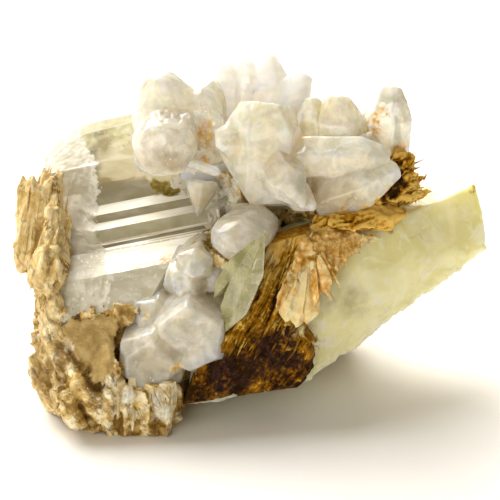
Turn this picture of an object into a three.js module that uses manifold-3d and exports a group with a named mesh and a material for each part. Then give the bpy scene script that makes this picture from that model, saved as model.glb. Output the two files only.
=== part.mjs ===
// A datolite specimen with quartz on matrix, about 80 mm wide, standing on its underside.
// Millimetres, +Z up, -Y towards the viewer. The floor is z = 0.
import * as THREE from "three";
import { mergeVertices } from "three/addons/utils/BufferGeometryUtils.js";
import Module from "manifold-3d";

const wasm = await Module();
wasm.setup();

// Driving dimensions
const seam = 0.3; // open seam between two neighbouring pieces
const toOrigin = [0.05, -1.6, 0]; // moves the middle of the specimen's footprint to the origin
const crystalSides = 6;
const chunkFacets = 14; // broken faces on one lump of rock
const chunkBite = 0.2; // how much deeper the deepest face of a lump lies than the shallowest
const blockReach = 0.4; // how much further out the cutting faces of a block lie
const goldenAngle = 2.39996; // radians, spreads the faces of a lump evenly
const restHeight = 0; // the plane that the underside is worn flat to
const loftSwell = 1.15; // makes up for a loft's sharp edges where it is grown by the seam
const endSwell = 1.3; // the same for its slanting ends
const smallest = 0.12; // edges shorter than this are closed up after the cuts

// Finishes
const finishes = {
  matrix: { color: 0xb39a6b, roughness: 0.9, metalness: 0 },
  rust: { color: 0x6b4214, roughness: 0.75, metalness: 0 },
  fan: { color: 0xc9a16a, roughness: 0.6, metalness: 0 },
  quartz: { color: 0xdcd2c4, roughness: 0.25, metalness: 0 },
  prism: { color: 0xd9d6bd, roughness: 0.12, metalness: 0 },
  datolite: { color: 0xc9cb92, roughness: 0.3, metalness: 0 },
};

// A repeatable number from 0 to 1 for item k of a lump.
function chance(k, seed) {
  const wave = Math.sin(k * 12.9898 + seed * 78.233) * 43758.5453;
  return wave - Math.floor(wave);
}

function solidFrom(geometry) {
  const bare = geometry.clone();
  bare.deleteAttribute("normal");
  bare.deleteAttribute("uv");
  const merged = mergeVertices(bare, 1e-4);
  const mesh = new wasm.Mesh({
    numProp: 3,
    vertProperties: merged.attributes.position.array,
    triVerts: new Uint32Array(merged.index.array),
  });
  return new wasm.Manifold(mesh);
}

function geometryFrom(solid) {
  const mesh = solid.getMesh();
  const geometry = new THREE.BufferGeometry();
  geometry.setAttribute("position", new THREE.BufferAttribute(mesh.vertProperties, 3));
  geometry.setIndex(new THREE.BufferAttribute(mesh.triVerts, 1));
  geometry.computeVertexNormals();
  return geometry;
}

function joined(solids) {
  return solids.reduce((whole, piece) => whole.add(piece));
}

// The largest of the separate bodies that a cut leaves, with any hollow inside it filled.
function mainBody(solid) {
  return solid.decompose().sort((a, b) => b.volume() - a.volume())[0];
}

// Turns the local +Y axis from foot to tip, after a roll about it.
function placeAlong(geometry, foot, tip, roll) {
  const from = new THREE.Vector3(...foot);
  const along = new THREE.Vector3(...tip).sub(from).normalize();
  const turn = new THREE.Quaternion().setFromUnitVectors(new THREE.Vector3(0, 1, 0), along);
  geometry.rotateY(THREE.MathUtils.degToRad(roll));
  geometry.applyQuaternion(turn);
  geometry.translate(from.x, from.y, from.z);
  return geometry;
}

// A crystal: flat sides from foot to shoulder, then sloping faces to a blunt tip.
// cap is the height of the sloping faces and blunt the tip's width, both as shares of width.
function crystal(spec, grow) {
  const { foot, tip, width, flat = 1, roll = 0, cap = 0.4, blunt = 0.15 } = spec;
  const length = new THREE.Vector3(...foot).distanceTo(new THREE.Vector3(...tip));
  const radius = width / 2 + grow;
  const profile = [
    [0, -grow],
    [radius * 0.9, -grow],
    [radius, length - cap * width],
    [(blunt * width) / 2 + grow, length + grow],
    [0, length + grow],
  ].map(([r, h]) => new THREE.Vector2(r, h));
  const geometry = new THREE.LatheGeometry(profile, crystalSides);
  geometry.scale(1, 1, flat);
  return solidFrom(placeAlong(geometry, foot, tip, roll));
}

// A blade: a flat sliver, widest a third of the way up, pointed at both ends.
function blade(spec, grow) {
  const { foot, tip, width, flat = 0.4, roll = 0 } = spec;
  const length = new THREE.Vector3(...foot).distanceTo(new THREE.Vector3(...tip));
  const radius = width / 2 + grow;
  const profile = [
    [0, -2 * grow],
    [radius * 0.8, length * 0.12],
    [radius * 0.85, length * 0.8],
    [0, length + 2 * grow],
  ].map(([r, h]) => new THREE.Vector2(r, h));
  const geometry = new THREE.LatheGeometry(profile, 4);
  geometry.scale(1, 1, flat + (2 * grow) / width);
  return solidFrom(placeAlong(geometry, foot, tip, roll));
}

// A lump of rock: a box cut back by flat faces spread evenly over a ball, each at its own depth.
// boxy is 0 for a rounded lump and 1 for a block that only loses its corners.
function chunk(spec, grow) {
  const { at, half, turn = [0, 0, 0], boxy = 0, seed } = spec;
  const side = 2.4 - 0.4 * boxy;
  let lump = solidFrom(new THREE.BoxGeometry(side, side, side));
  for (let k = 0; k < chunkFacets; k++) {
    const up = 1 - (2 * (k + 0.5)) / chunkFacets;
    const round = Math.sqrt(1 - up * up);
    const angle = k * goldenAngle + seed;
    const depth = 1 + blockReach * boxy - chunkBite * (1 + boxy) * chance(k, seed);
    lump = lump.trimByPlane([-round * Math.cos(angle), -round * Math.sin(angle), -up], -depth);
  }
  const geometry = geometryFrom(lump);
  geometry.scale(half[0] + grow, half[1] + grow, half[2] + grow);
  const [rx, ry, rz] = turn.map(THREE.MathUtils.degToRad);
  geometry.applyQuaternion(new THREE.Quaternion().setFromEuler(new THREE.Euler(rx, ry, rz)));
  geometry.translate(...at);
  return solidFrom(geometry);
}

// A skin over rings of points that run along +X, closed by a flat fan at each end.
function loft(rings, grow) {
  const around = rings[0].length;
  const last = rings.length - 1;
  const swollen = rings.map((ring, row) => {
    const endShift = endSwell * (row === 0 ? -grow : row === last ? grow : 0);
    return ring.map(([x, y, z], i) => {
      const before = ring[(i + around - 1) % around];
      const after = ring[(i + 1) % around];
      const out = new THREE.Vector2(after[2] - before[2], before[1] - after[1]);
      out.setLength(loftSwell * grow);
      return [x + endShift, y + out.x, z + out.y];
    });
  });
  const points = swollen.flat();
  const ends = [swollen[0], swollen[last]].map((ring) => {
    const middle = [0, 1, 2].map((axis) => ring.reduce((sum, p) => sum + p[axis], 0) / around);
    return points.push(middle) - 1;
  });
  const triangles = [];
  for (let i = 0; i < around; i++) {
    const next = (i + 1) % around;
    for (let row = 0; row < last; row++) {
      const low = row * around;
      triangles.push(low + i, low + next, low + around + next);
      triangles.push(low + i, low + around + next, low + around + i);
    }
    triangles.push(ends[0], next, i);
    triangles.push(ends[1], last * around + i, last * around + next);
  }
  const geometry = new THREE.BufferGeometry();
  geometry.setAttribute("position", new THREE.Float32BufferAttribute(points.flat(), 3));
  geometry.setIndex(triangles);
  return solidFrom(geometry);
}

const mix = (a, b, t) => a.map((value, axis) => value + (b[axis] - value) * t);

// Stubby crystals at the upper left, one pointing at the viewer.
function quartzLeftGroup(grow) {
  const crystals = [
    { foot: [-14.2, 9, 35], tip: [-14.4, 8, 54.4], width: 12, cap: 0.5, blunt: 0.4, roll: 30 },
    { foot: [-12.5, 12, 46], tip: [-15, -4, 41.5], width: 12, cap: 0.3, blunt: 0.5, roll: 12 },
    { foot: [-7.8, 6, 36], tip: [-8.8, 9, 50.6], width: 9, cap: 0.4, blunt: 0.5, roll: 10 },
    { foot: [-6.5, 10, 40], tip: [-6.7, 13, 52.6], width: 5.6, cap: 0.8, blunt: 0.2 },
    { foot: [-9.5, 9, 43], tip: [-4, 4, 48], width: 7, cap: 0.4, blunt: 0.4 },
    { foot: [-8.5, 9, 37], tip: [-6.6, 0.6, 43], width: 6, cap: 0.5, blunt: 0.3 },
    { foot: [-9, 9, 36], tip: [-9.8, -1, 39.5], width: 6, cap: 0.5, blunt: 0.3 },
    { foot: [-12, 12, 38], tip: [-19, 9, 44], width: 8, cap: 0.5, blunt: 0.4, roll: 15 },
  ];
  return joined(crystals.map((spec) => crystal(spec, grow)));
}

// The big upright crystal in the middle and the crystals that lean out of its foot.
function quartzMainGroup(grow) {
  const crystals = [
    { foot: [0.8, 3, 27], tip: [1.6, 2.4, 51], width: 14.6, flat: 0.85, cap: 0.62, blunt: 0.5 },
    { foot: [0, 1, 45], tip: [9.5, -8.4, 35.2], width: 8.6, cap: 0.5, blunt: 0.2, roll: 20 },
    { foot: [-1, 4, 42], tip: [-2, -7.5, 35.5], width: 8.4, cap: 0.35, blunt: 0.45 },
    { foot: [-3, 5, 43], tip: [-4.4, -2.4, 46], width: 5.6, cap: 0.4, blunt: 0.4 },
    { foot: [2, 4, 36], tip: [13.6, -7.6, 33.6], width: 7.6, cap: 0.5, blunt: 0.2, roll: 30 },
    { foot: [5, 3, 41.6], tip: [24.6, 3, 42.4], width: 7.4, flat: 0.85, cap: 0.7, blunt: 0.15 },
    { foot: [8, 8, 36], tip: [11, 0.4, 37.8], width: 8.6, cap: 0.4, blunt: 0.35, roll: 15 },
    { foot: [11, 2, 34], tip: [25.6, 1.5, 40.2], width: 10, flat: 0.9, cap: 0.6, blunt: 0.25 },
    { foot: [16.4, 9, 33], tip: [16, 9, 48.4], width: 9.6, cap: 0.4, blunt: 0.45, roll: 30 },
    { foot: [13, 9, 36], tip: [12.4, 8.4, 46], width: 5.4, cap: 0.6, blunt: 0.3 },
  ];
  return joined(crystals.map((spec) => crystal(spec, grow)));
}

// The tall point at the right end of the crest.
function quartzTallPoint(grow) {
  const crystals = [
    { foot: [23, 9, 33], tip: [24.4, 10.4, 50.8], width: 7, cap: 0.8, blunt: 0.4, roll: 15 },
    { foot: [20.6, 11, 34], tip: [20.6, 12, 45.6], width: 7.6, cap: 0.4, blunt: 0.5 },
    { foot: [21, 7, 36], tip: [19.6, 5.4, 44.4], width: 5, cap: 0.5, blunt: 0.3 },
  ];
  return joined(crystals.map((spec) => crystal(spec, grow)));
}

// Small points along the back of the crest and down its rear side.
function quartzRearRow(grow) {
  const crystals = [
    { foot: [-3.6, 14, 36], tip: [-4.3, 15.5, 51.6], width: 4.8, cap: 0.6, blunt: 0.3 },
    { foot: [-0.4, 15, 36], tip: [-0.9, 16.5, 51.4], width: 6.2, cap: 0.3, blunt: 0.6 },
    { foot: [3, 15, 36], tip: [3.3, 16.5, 52.6], width: 5.4, cap: 0.8, blunt: 0.25 },
    { foot: [2.4, 14, 41], tip: [9.6, 15, 49.6], width: 6, cap: 0.4, blunt: 0.5 },
    { foot: [14.6, 14, 34], tip: [12.4, 14.5, 47.2], width: 4.6, cap: 0.6 },
    { foot: [17, 14, 34], tip: [16.2, 15, 46.4], width: 5.2, cap: 0.6, blunt: 0.4 },
    { foot: [-11, 15, 34], tip: [-12, 19, 46.6], width: 6, cap: 0.7 },
    { foot: [-6, 16, 33], tip: [-7, 21.5, 47], width: 6.4, cap: 0.7 },
    { foot: [0, 17, 33], tip: [0, 22, 46.6], width: 7, cap: 0.6 },
    { foot: [5, 17, 32], tip: [5.2, 22.6, 42], width: 5.6, cap: 0.7 },
    { foot: [15, 15, 32], tip: [15.4, 20.6, 41.6], width: 6, cap: 0.7 },
    { foot: [-16, 15, 35], tip: [-18.2, 19, 43.4], width: 5.4, cap: 0.6 },
  ];
  const root = { at: [2, 15, 35], half: [18, 4.6, 4.4], turn: [0, 2, 0], seed: 3 };
  return joined([...crystals.map((spec) => crystal(spec, grow)), chunk(root, grow)]);
}

// Milky blocks on the lower front, turned towards the viewer.
function quartzFrontLumps(grow) {
  const crystals = [
    { foot: [-9, -1, 18], tip: [-10.2, -19.4, 15.8], width: 14, flat: 0.9, cap: 0.22, blunt: 0.66 },
    { foot: [-14, -4, 15], tip: [-17.4, -20.4, 11.6], width: 12.6, cap: 0.3, blunt: 0.5, roll: 24 },
    { foot: [-9, 0, 23], tip: [-11, -12.6, 23.6], width: 9, cap: 0.35, blunt: 0.4, roll: 18 },
    { foot: [-5, 0, 25], tip: [-6.6, -11.4, 23.4], width: 6.4, cap: 0.4, blunt: 0.35 },
    { foot: [-15, -5, 19], tip: [-17.6, -15, 18], width: 7, cap: 0.4, blunt: 0.3 },
  ];
  return joined(crystals.map((spec) => crystal(spec, grow)));
}

// A rounded knob between the striped crystal and the green blades.
function quartzKnob(grow) {
  const place = { foot: [2, 0, 30], tip: [-3.2, -12, 30.8] };
  return crystal({ ...place, width: 11.4, flat: 0.72, cap: 0.3, blunt: 0.6 }, grow);
}

// A small bright sliver lying behind the tip of the striped crystal.
function quartzSliver(grow) {
  const place = { foot: [-10, -1, 38.6], tip: [-4.6, -2.6, 37.2] };
  return crystal({ ...place, width: 2.4, cap: 0.3, blunt: 0.6 }, grow);
}

function greenBladeLeft(grow) {
  const spec = { foot: [-6, -12.6, 21.4], tip: [-1, -9.6, 30], width: 3.4, flat: 0.5, roll: 40 };
  return blade(spec, grow);
}

function greenBladeRight(grow) {
  const spec = { foot: [-4.4, -15, 17.4], tip: [2.2, -9, 32.2], width: 6, flat: 0.45, roll: 20 };
  return blade(spec, grow);
}

// A thin rusty layer on the slab's lower left, with fibres that run from its top to its lower left.
// Each row gives the left and the right end of a line across the layer, from the top down.
function rustBundle(grow) {
  const rows = [
    [[2, -8, 29], [10, -5.6, 30.6]],
    [[1, -9.4, 26.4], [9.4, -8.4, 26.6]],
    [[0, -11, 22.8], [8.6, -11.2, 21.6]],
    [[-3, -14, 19], [9, -12.4, 17.6]],
    [[-5.4, -16, 16], [8.6, -13.4, 13.6]],
    [[-8.4, -18, 12], [8.8, -13.4, 9.6]],
    [[-11.2, -19.6, 6.4], [8, -13.2, 6.4]],
  ];
  const layerDepth = 4.5;
  const columns = 5;
  const sheet = [];
  for (let c = 0; c < columns; c++) {
    const t = c / (columns - 1);
    const front = rows.map(([left, right], r) => {
      const [x, y, z] = mix(left, right, t);
      return [x, y - 0.7 * chance(r * columns + c, 4), z];
    });
    const back = front.map(([x, y, z]) => [x, y + layerDepth, z]);
    sheet.push([...front, ...back.reverse()]);
  }
  const count = 8;
  const fibres = [];
  for (let i = 0; i < count; i++) {
    const t = i / (count - 1);
    const tip = mix(rows[0][0], rows[0][1], t);
    const foot = mix(rows.at(-1)[0], rows.at(-1)[1], t);
    const middle = mix(mix(...rows[3], t), mix(...rows[2], t), 0.5);
    tip[2] += 1.4 * chance(i, 6) - 1;
    middle[1] -= 0.9 + 0.6 * chance(i, 7);
    foot[1] -= 0.6;
    const width = 3.6 + 1.4 * chance(i, 8);
    fibres.push({ foot: middle, tip, width, flat: 0.6, roll: 90 * chance(i, 9) });
    fibres.push({ foot, tip: mix(middle, tip, 0.3), width, flat: 0.6, roll: 90 * chance(i, 10) });
  }
  const lumps = [
    { at: [-2.6, -15.4, 9.4], half: [6.6, 2.6, 3.6], turn: [0, -12, 18], seed: 11 },
    { at: [4, -13, 11.4], half: [5, 3, 5], turn: [0, 20, 10], seed: 12 },
  ];
  return joined([
    loft(sheet, grow),
    ...fibres.map((spec) => blade(spec, grow)),
    ...lumps.map((spec) => chunk(spec, grow)),
  ]);
}

// Pale blades that fan out downwards from one point.
function tanFan(grow) {
  const hub = [10.4, -5.6, 31];
  const ends = [
    [5.4, -13.2, 21.8],
    [7.4, -13.8, 19.6],
    [9.6, -13.6, 18.4],
    [11.4, -12.4, 20],
    [13.2, -11, 22],
    [15.2, -9.6, 23.2],
    [17.6, -7.8, 24.8],
    [20, -6, 26.4],
    [23.6, -3.4, 28.4],
  ];
  const blades = ends.map((end, i) => ({ foot: hub, tip: end, width: 4.6, flat: 0.6, roll: 30 * i }));
  return joined(blades.map((spec) => blade(spec, grow)));
}

// A golden ledge along the top edge of the pale slab.
function rustLedge(grow) {
  const lumps = [
    { at: [15, -2.6, 31], half: [5, 3, 2], turn: [0, 0, 8], seed: 21 },
    { at: [21, -0.6, 31.4], half: [5.4, 3.2, 2], turn: [0, -4, 14], seed: 22 },
  ];
  return joined(lumps.map((spec) => chunk(spec, grow)));
}

// A rusty spray of blades that splays out to the right, under the tall point.
function rustSpray(grow) {
  const hub = [13.6, -1.4, 33.6];
  const count = 14;
  const blades = [];
  for (let i = 0; i < count; i++) {
    const t = i / (count - 1);
    const length = 11 + 3 * chance(i, 31) + 3 * (1 - t);
    const rise = THREE.MathUtils.degToRad(-4 + 40 * t);
    const turn = THREE.MathUtils.degToRad(6 + 22 * chance(i, 32));
    const foot = [hub[0] + 4 * chance(i, 33), hub[1] + 1.6 * chance(i, 34), hub[2] + 1.4 * t];
    const reach = length * Math.cos(rise);
    const tip = [
      foot[0] + reach * Math.cos(turn),
      foot[1] + reach * Math.sin(turn),
      foot[2] + length * Math.sin(rise),
    ];
    blades.push({ foot, tip, width: 3.2, flat: 0.6, roll: 90 * chance(i, 35) });
  }
  const crust = { at: [25.6, 5, 38.4], half: [2.4, 3, 2.8], seed: 36 };
  return joined([...blades.map((spec) => blade(spec, grow)), chunk(crust, grow)]);
}

// The large striped crystal: a stepped face carried sideways, and a low crest behind it.
// Each line gives its distance towards the viewer and its height from the rear edge of the
// striped face. The last value of a crest line is how far it falls towards the left end.
function datolitePrism(grow) {
  const edge = [-19, 13.4, 36.6];
  const recede = 0.15;
  const climb = 0.19;
  const leftEnd = (out) => -34.6 + 0.13 * out;
  const rightEnd = (out) => 2.6 - 0.78 * out;
  const crestEnd = -7;
  const shoulder = -27;
  const steps = [
    [0, 0],
    [3.6, -5.2],
    [7.6, -5.6],
    [8.3, -7.3],
    [11.7, -7.6],
    [12.6, -9.5],
    [13.6, -9.9],
    [22, -11.2],
    [25.2, -16.4],
    [23, -20],
    [8, -22],
    [-1, -14],
  ];
  const crest = [
    [-9, 4.6, 5],
    [-5.6, 4.2, 4.4],
    [-0.6, 0.6, 1.4],
    [0.4, -0.8, 0],
    [2, -14, 0],
    [-8, -10, 0],
    [-10, 0, 3],
  ];
  const at = ([out, height], x, fall = 0) => {
    const across = x - edge[0];
    return [x, edge[1] - out + recede * across, edge[2] + height + climb * across - fall];
  };
  const striped = [
    steps.map((line) => at(line, leftEnd(line[0]))),
    steps.map((line) => at(line, rightEnd(line[0]))),
  ];
  const rear = [
    crest.map((line) => at(line, leftEnd(line[0]), line[2])),
    crest.map((line) => at(line, shoulder)),
    crest.map((line) => at(line, crestEnd)),
  ];
  return joined([loft(striped, grow), loft(rear, grow)]);
}

// The pale green slab: a section carried from its buried end to the right tip.
// Each section goes from its front top over the middle and the foot to its back foot and back top.
function datoliteSlab(grow) {
  const sections = [
    [[-9, -10, 15], [-10, -14, 11], [-11, -18.2, 4.6], [-8, 2, 4], [-8, 3, 15]],
    [[0, -7.4, 26], [0, -12, 18], [-1.7, -16.4, 5.6], [0, 5, 4.6], [0, 5, 24]],
    [[9, -5, 29.4], [8.4, -11, 20], [8.4, -12.8, 5.6], [9, 8, 6], [9, 8, 28]],
    [[17, -3.2, 30.2], [16.4, -8.4, 22], [17, -8, 9.6], [17, 12, 9], [17, 11, 29.6]],
    [[25.4, 0.6, 31], [25.5, -3.6, 24], [25.5, -4, 15.2], [25, 14, 14], [25, 13, 31]],
    [[33.2, 5, 32.2], [32.8, 0.6, 26], [32.4, -1, 18.9], [32, 14.6, 18.6], [32.4, 14, 31]],
    [[38.6, 8, 33.9], [40.4, 4.4, 29], [40.5, 3, 24.2], [38, 12, 24], [37.4, 13, 31]],
  ];
  return loft(sections, grow);
}

// The brown rock that carries everything: lumps, upright splinters and short columns.
function matrixRock(grow) {
  const lumps = [
    { at: [-18, 3, 12], half: [16, 17, 12.6], seed: 41 },
    { at: [0, 9, 15], half: [15, 13, 17], seed: 42 },
    { at: [-24, -6, 9], half: [11, 11, 10.6], seed: 43 },
    { at: [9, 12, 10], half: [9.6, 10, 11], seed: 44 },
    { at: [-18.4, -12.6, 5], half: [7.4, 7.2, 6.4], boxy: 0.6, seed: 45 },
    { at: [5, 10, 30.6], half: [19, 8.4, 5.6], turn: [0, -4, 0], seed: 46 },
    { at: [-14, 14, 30], half: [12, 8, 7], turn: [0, 12, 0], seed: 47 },
    { at: [-26.6, -12, 13.4], half: [5.6, 4, 6], turn: [-30, 0, 4], boxy: 1, seed: 48 },
    { at: [-34, -9, 25.4], half: [3.4, 4, 4], seed: 49 },
    { at: [-26.4, -16, 5.4], half: [7, 4.4, 5], turn: [0, 16, 24], boxy: 0.7, seed: 50 },
    { at: [-33.4, 0, 21], half: [4, 9, 12], turn: [-14, 0, 0], seed: 51 },
    { at: [-6.4, -4.6, 26], half: [5, 5, 3.6], seed: 53 },
    { at: [-20.4, -11.4, 17.8], half: [2.6, 3, 3], boxy: 1, seed: 54 },
    { at: [-31.4, -9, 8.4], half: [4.6, 6.6, 8.4], boxy: 0.5, seed: 55 },
    { at: [-23, -16.4, 11], half: [3.4, 3.4, 3], turn: [0, 40, 20], boxy: 0.8, seed: 56 },
    { at: [-32, -11.4, 17], half: [2.8, 2.4, 4.6], turn: [-16, 0, 0], boxy: 0.8, seed: 57 },
    { at: [-20, 15, 20], half: [14, 8.4, 11], turn: [0, -8, 8], boxy: 0.4, seed: 58 },
    { at: [-6, 18, 27], half: [8, 5.4, 6], turn: [0, 20, 0], boxy: 0.5, seed: 59 },
    { at: [8, 17, 24], half: [9, 6, 8], turn: [0, 10, -16], boxy: 0.5, seed: 60 },
    { at: [-10, 20, 10], half: [9, 4, 8], turn: [0, 24, 10], boxy: 0.7, seed: 61 },
  ];
  const fringe = [
    { foot: [-36.4, -6, 22], tip: [-33.4, 5, 37], width: 5 },
    { foot: [-35, -4, 22], tip: [-32.6, 8, 37.6], width: 5 },
    { foot: [-38.4, -4, 22.6], tip: [-36.6, 5, 38], width: 5 },
    { foot: [-34.6, -8, 22], tip: [-32.4, 0, 33], width: 4 },
    { foot: [-38.6, -6, 22.6], tip: [-39, 0, 28.6], width: 4.6 },
    { foot: [-35, 2, 22], tip: [-35.4, 10, 37], width: 5 },
    { foot: [-38, -2, 22], tip: [-38.6, 6, 37.8], width: 4 },
  ];
  const columns = [];
  for (let i = 0; i < 6; i++) {
    const x = -23.4 + 1.9 * i;
    columns.push({ foot: [x, -19.6, -3], tip: [x + 0.2, -20, 10 + 1.6 * chance(i, 52)], width: 3.6 });
  }
  for (let i = 0; i < 5; i++) {
    const y = -13 + 3 * i;
    columns.push({ foot: [-34.6, y, 1 + i], tip: [-33.6, y + 2, 20.6], width: 4.6 });
  }
  const slivers = [...fringe, ...columns].map((spec, i) => ({ flat: 0.7, roll: 37 * i, ...spec }));
  return joined([
    ...lumps.map((spec) => chunk(spec, grow)),
    ...slivers.map((spec) => blade(spec, grow)),
  ]);
}

// Each piece in order: a piece is cut back from all that come before it.
const order = [
  ["quartz_main_group", quartzMainGroup, "quartz"],
  ["quartz_left_group", quartzLeftGroup, "quartz"],
  ["quartz_tall_point", quartzTallPoint, "quartz"],
  ["quartz_rear_row", quartzRearRow, "quartz"],
  ["quartz_front_lumps", quartzFrontLumps, "quartz"],
  ["quartz_knob", quartzKnob, "quartz"],
  ["quartz_sliver", quartzSliver, "quartz"],
  ["green_blade_right", greenBladeRight, "prism"],
  ["green_blade_left", greenBladeLeft, "prism"],
  ["tan_fan", tanFan, "fan"],
  ["rust_bundle", rustBundle, "rust"],
  ["rust_spray", rustSpray, "rust"],
  ["rust_ledge", rustLedge, "rust"],
  ["datolite_prism", datolitePrism, "prism"],
  ["datolite_slab", datoliteSlab, "datolite"],
  ["matrix_rock", matrixRock, "matrix"],
];

const specimen = new THREE.Group();
let taken = null;
for (const [name, make, finish] of order) {
  const whole = make(0);
  const cut = taken ? whole.subtract(taken) : whole;
  const rested = cut.trimByPlane([0, 0, 1], restHeight);
  const solid = mainBody(mainBody(rested).simplify(smallest));
  const grown = make(seam);
  taken = taken ? taken.add(grown) : grown;
  const mesh = new THREE.Mesh(geometryFrom(solid), new THREE.MeshStandardMaterial(finishes[finish]));
  mesh.name = name;
  specimen.add(mesh);
}
specimen.position.set(...toOrigin);

export default specimen;
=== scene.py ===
import math
import bpy
import numpy as np
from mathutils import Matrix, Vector


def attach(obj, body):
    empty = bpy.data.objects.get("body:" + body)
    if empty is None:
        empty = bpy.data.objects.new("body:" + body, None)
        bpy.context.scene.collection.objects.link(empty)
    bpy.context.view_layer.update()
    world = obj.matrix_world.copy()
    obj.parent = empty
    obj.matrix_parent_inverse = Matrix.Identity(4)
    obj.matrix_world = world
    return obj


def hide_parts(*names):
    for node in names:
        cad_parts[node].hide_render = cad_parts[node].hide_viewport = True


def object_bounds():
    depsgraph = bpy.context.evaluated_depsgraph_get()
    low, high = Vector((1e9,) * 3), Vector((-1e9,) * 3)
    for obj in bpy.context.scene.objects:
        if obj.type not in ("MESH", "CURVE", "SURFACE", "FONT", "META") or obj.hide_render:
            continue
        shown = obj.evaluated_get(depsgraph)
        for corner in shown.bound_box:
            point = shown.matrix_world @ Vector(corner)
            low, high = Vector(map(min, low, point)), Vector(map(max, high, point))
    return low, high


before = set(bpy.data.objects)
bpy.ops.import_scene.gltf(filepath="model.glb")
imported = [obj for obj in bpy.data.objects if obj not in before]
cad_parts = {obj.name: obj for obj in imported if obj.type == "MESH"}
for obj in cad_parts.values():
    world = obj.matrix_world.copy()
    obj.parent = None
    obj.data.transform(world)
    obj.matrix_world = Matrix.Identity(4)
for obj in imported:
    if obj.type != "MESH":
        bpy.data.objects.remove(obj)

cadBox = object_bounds()
millimetre = 0.001
shift = np.array([0.05, -1.6, 0.0])  # the tables are in millimetres, before this move to the frame's origin
lowest = np.array(cadBox[0])
highest = np.array(cadBox[1])
print("frame loaded")

# camera

view = {"target": (0, 0, 25), "distance": 520, "rise": 25, "width": 85, "sensor": 36}


def placeCamera():
    rise = math.radians(view["rise"])
    target = np.array(view["target"]) + shift
    back = view["distance"] * np.array([0, -math.cos(rise), math.sin(rise)])
    lens = bpy.data.cameras.new("photoView")
    lens.sensor_width = view["sensor"]
    lens.lens = view["sensor"] * view["distance"] / view["width"]
    lens.clip_start, lens.clip_end = 0.01, 10
    camera = bpy.data.objects.new("photoView", lens)
    camera.location = (target + back) * millimetre
    camera.rotation_euler = (math.pi / 2 - rise, 0, 0)
    bpy.context.scene.collection.objects.link(camera)
    bpy.context.scene.camera = camera


placeCamera()

# repeatable noise


def latticeNumber(cell, seed):
    # a number from 0 to 1 for each lattice point: its three indices mixed by large odd factors
    index = cell.astype(np.int64) + 4096
    mixed = (index[:, 0] * 73856093) ^ (index[:, 1] * 19349663) ^ (index[:, 2] * 83492791)
    mixed = mixed ^ (seed * 668265263)
    mixed = mixed & 0x7FFFFFFF
    mixed = ((mixed ^ (mixed >> 15)) * 1274126177) & 0x7FFFFFFF
    mixed = ((mixed ^ (mixed >> 13)) * 1103515245) & 0x7FFFFFFF
    return ((mixed ^ (mixed >> 16)) & 0xFFFF) / 65535


def smoothNoise(points, size, seed, octaves):
    # lattice numbers blended by a smooth step; each octave has half the size and half the weight
    total, weight = np.zeros(len(points)), 0.0
    for octave in range(octaves):
        place = points * (2**octave / size) + 31.7 * octave
        base = np.floor(place)
        part = place - base
        part = part**3 * (part * (part * 6 - 15) + 10)
        value = np.zeros(len(points))
        for corner in np.ndindex(2, 2, 2):
            share = np.prod(np.where(corner, part, 1 - part), axis=1)
            value += share * latticeNumber(base + corner, seed + octave)
        total += value * 0.5**octave
        weight += 0.5**octave
    return total / weight


def uneven(points, size, seed, octaves):
    # the same noise, but from -0.5 to 0.5
    return smoothNoise(points, size, seed, octaves) - 0.5


def brokenCells(points, size, seed, slant):
    # the nearest of the scattered points, one to a lattice cell, gives each place a tilted flat facet;
    # returns the facet's height and a number from 0 to 1 of its own
    place = points / size
    base = np.floor(place)
    near, height, own = np.full(len(points), 9.0), np.zeros(len(points)), np.zeros(len(points))
    for step in np.ndindex(3, 3, 3):
        cell = base + np.array(step) - 1
        numbers = [latticeNumber(cell, seed * 17 + k) for k in range(6)]
        away = place - cell - np.stack(numbers[:3], axis=1)
        distance = np.sqrt((away**2).sum(axis=1))
        tilt = np.stack(numbers[3:], axis=1) - 0.5
        level = slant * (tilt * away).sum(axis=1) * 2 + numbers[5] - 0.5
        closer = distance < near
        height = np.where(closer, level, height)
        own = np.where(closer, numbers[4], own)
        near = np.where(closer, distance, near)
    return height, own


def spots(points, table, ragged, soft, seed):
    # round marks, each (x, y, z, radius): 1 inside, 0 outside, with a ragged soft edge
    wobble = ragged * 2 * uneven(points, 1.4, seed, 3)
    total = np.zeros(len(points))
    for x, y, z, radius in table:
        away = np.linalg.norm(points - (x, y, z), axis=1) / radius
        total = np.maximum(total, np.clip((1 - away + wobble) / soft, 0, 1))
    return total


def fade(value, low, high):
    # a smooth step from 0 at low to 1 at high
    part = np.clip((value - low) / (high - low), 0, 1)
    return part * part * (3 - 2 * part)


# surfaces: a skin is its points in millimetres and a list of face index arrays


def sides(faces):
    start = np.concatenate([f.ravel() for f in faces])
    end = np.concatenate([np.roll(f, -1, axis=1).ravel() for f in faces])
    return start, end


def spread(index, values, count):
    return np.stack([np.bincount(index, values[:, k], count) for k in range(3)], axis=1)


def normalsOf(points, faces):
    # each face's diagonals or sides crossed, summed at its corners
    total = np.zeros_like(points)
    for f in faces:
        last = f.shape[1] - 1
        first = points[f[:, 2]] - points[f[:, 0]] if last == 3 else points[f[:, 1]] - points[f[:, 0]]
        other = points[f[:, last]] - points[f[:, 1]] if last == 3 else points[f[:, 2]] - points[f[:, 0]]
        normal = np.cross(first, other)
        for k in range(last + 1):
            total += spread(f[:, k], normal, len(points))
    return total / np.maximum(np.linalg.norm(total, axis=1, keepdims=True), 1e-9)


def relaxed(points, faces, steps, share=0.6):
    # every point moves part of the way to the mean of its neighbours
    start, end = sides(faces)
    count = np.bincount(start, minlength=len(points)) + np.bincount(end, minlength=len(points))
    for step in range(steps):
        total = spread(start, points[end], len(points)) + spread(end, points[start], len(points))
        points = points + share * (total / np.maximum(count, 1)[:, None] - points)
    return points


def relaxedWhere(points, faces, steps, where, share=0.6):
    return points + (relaxed(points, faces, steps, share) - points) * where[:, None]


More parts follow.
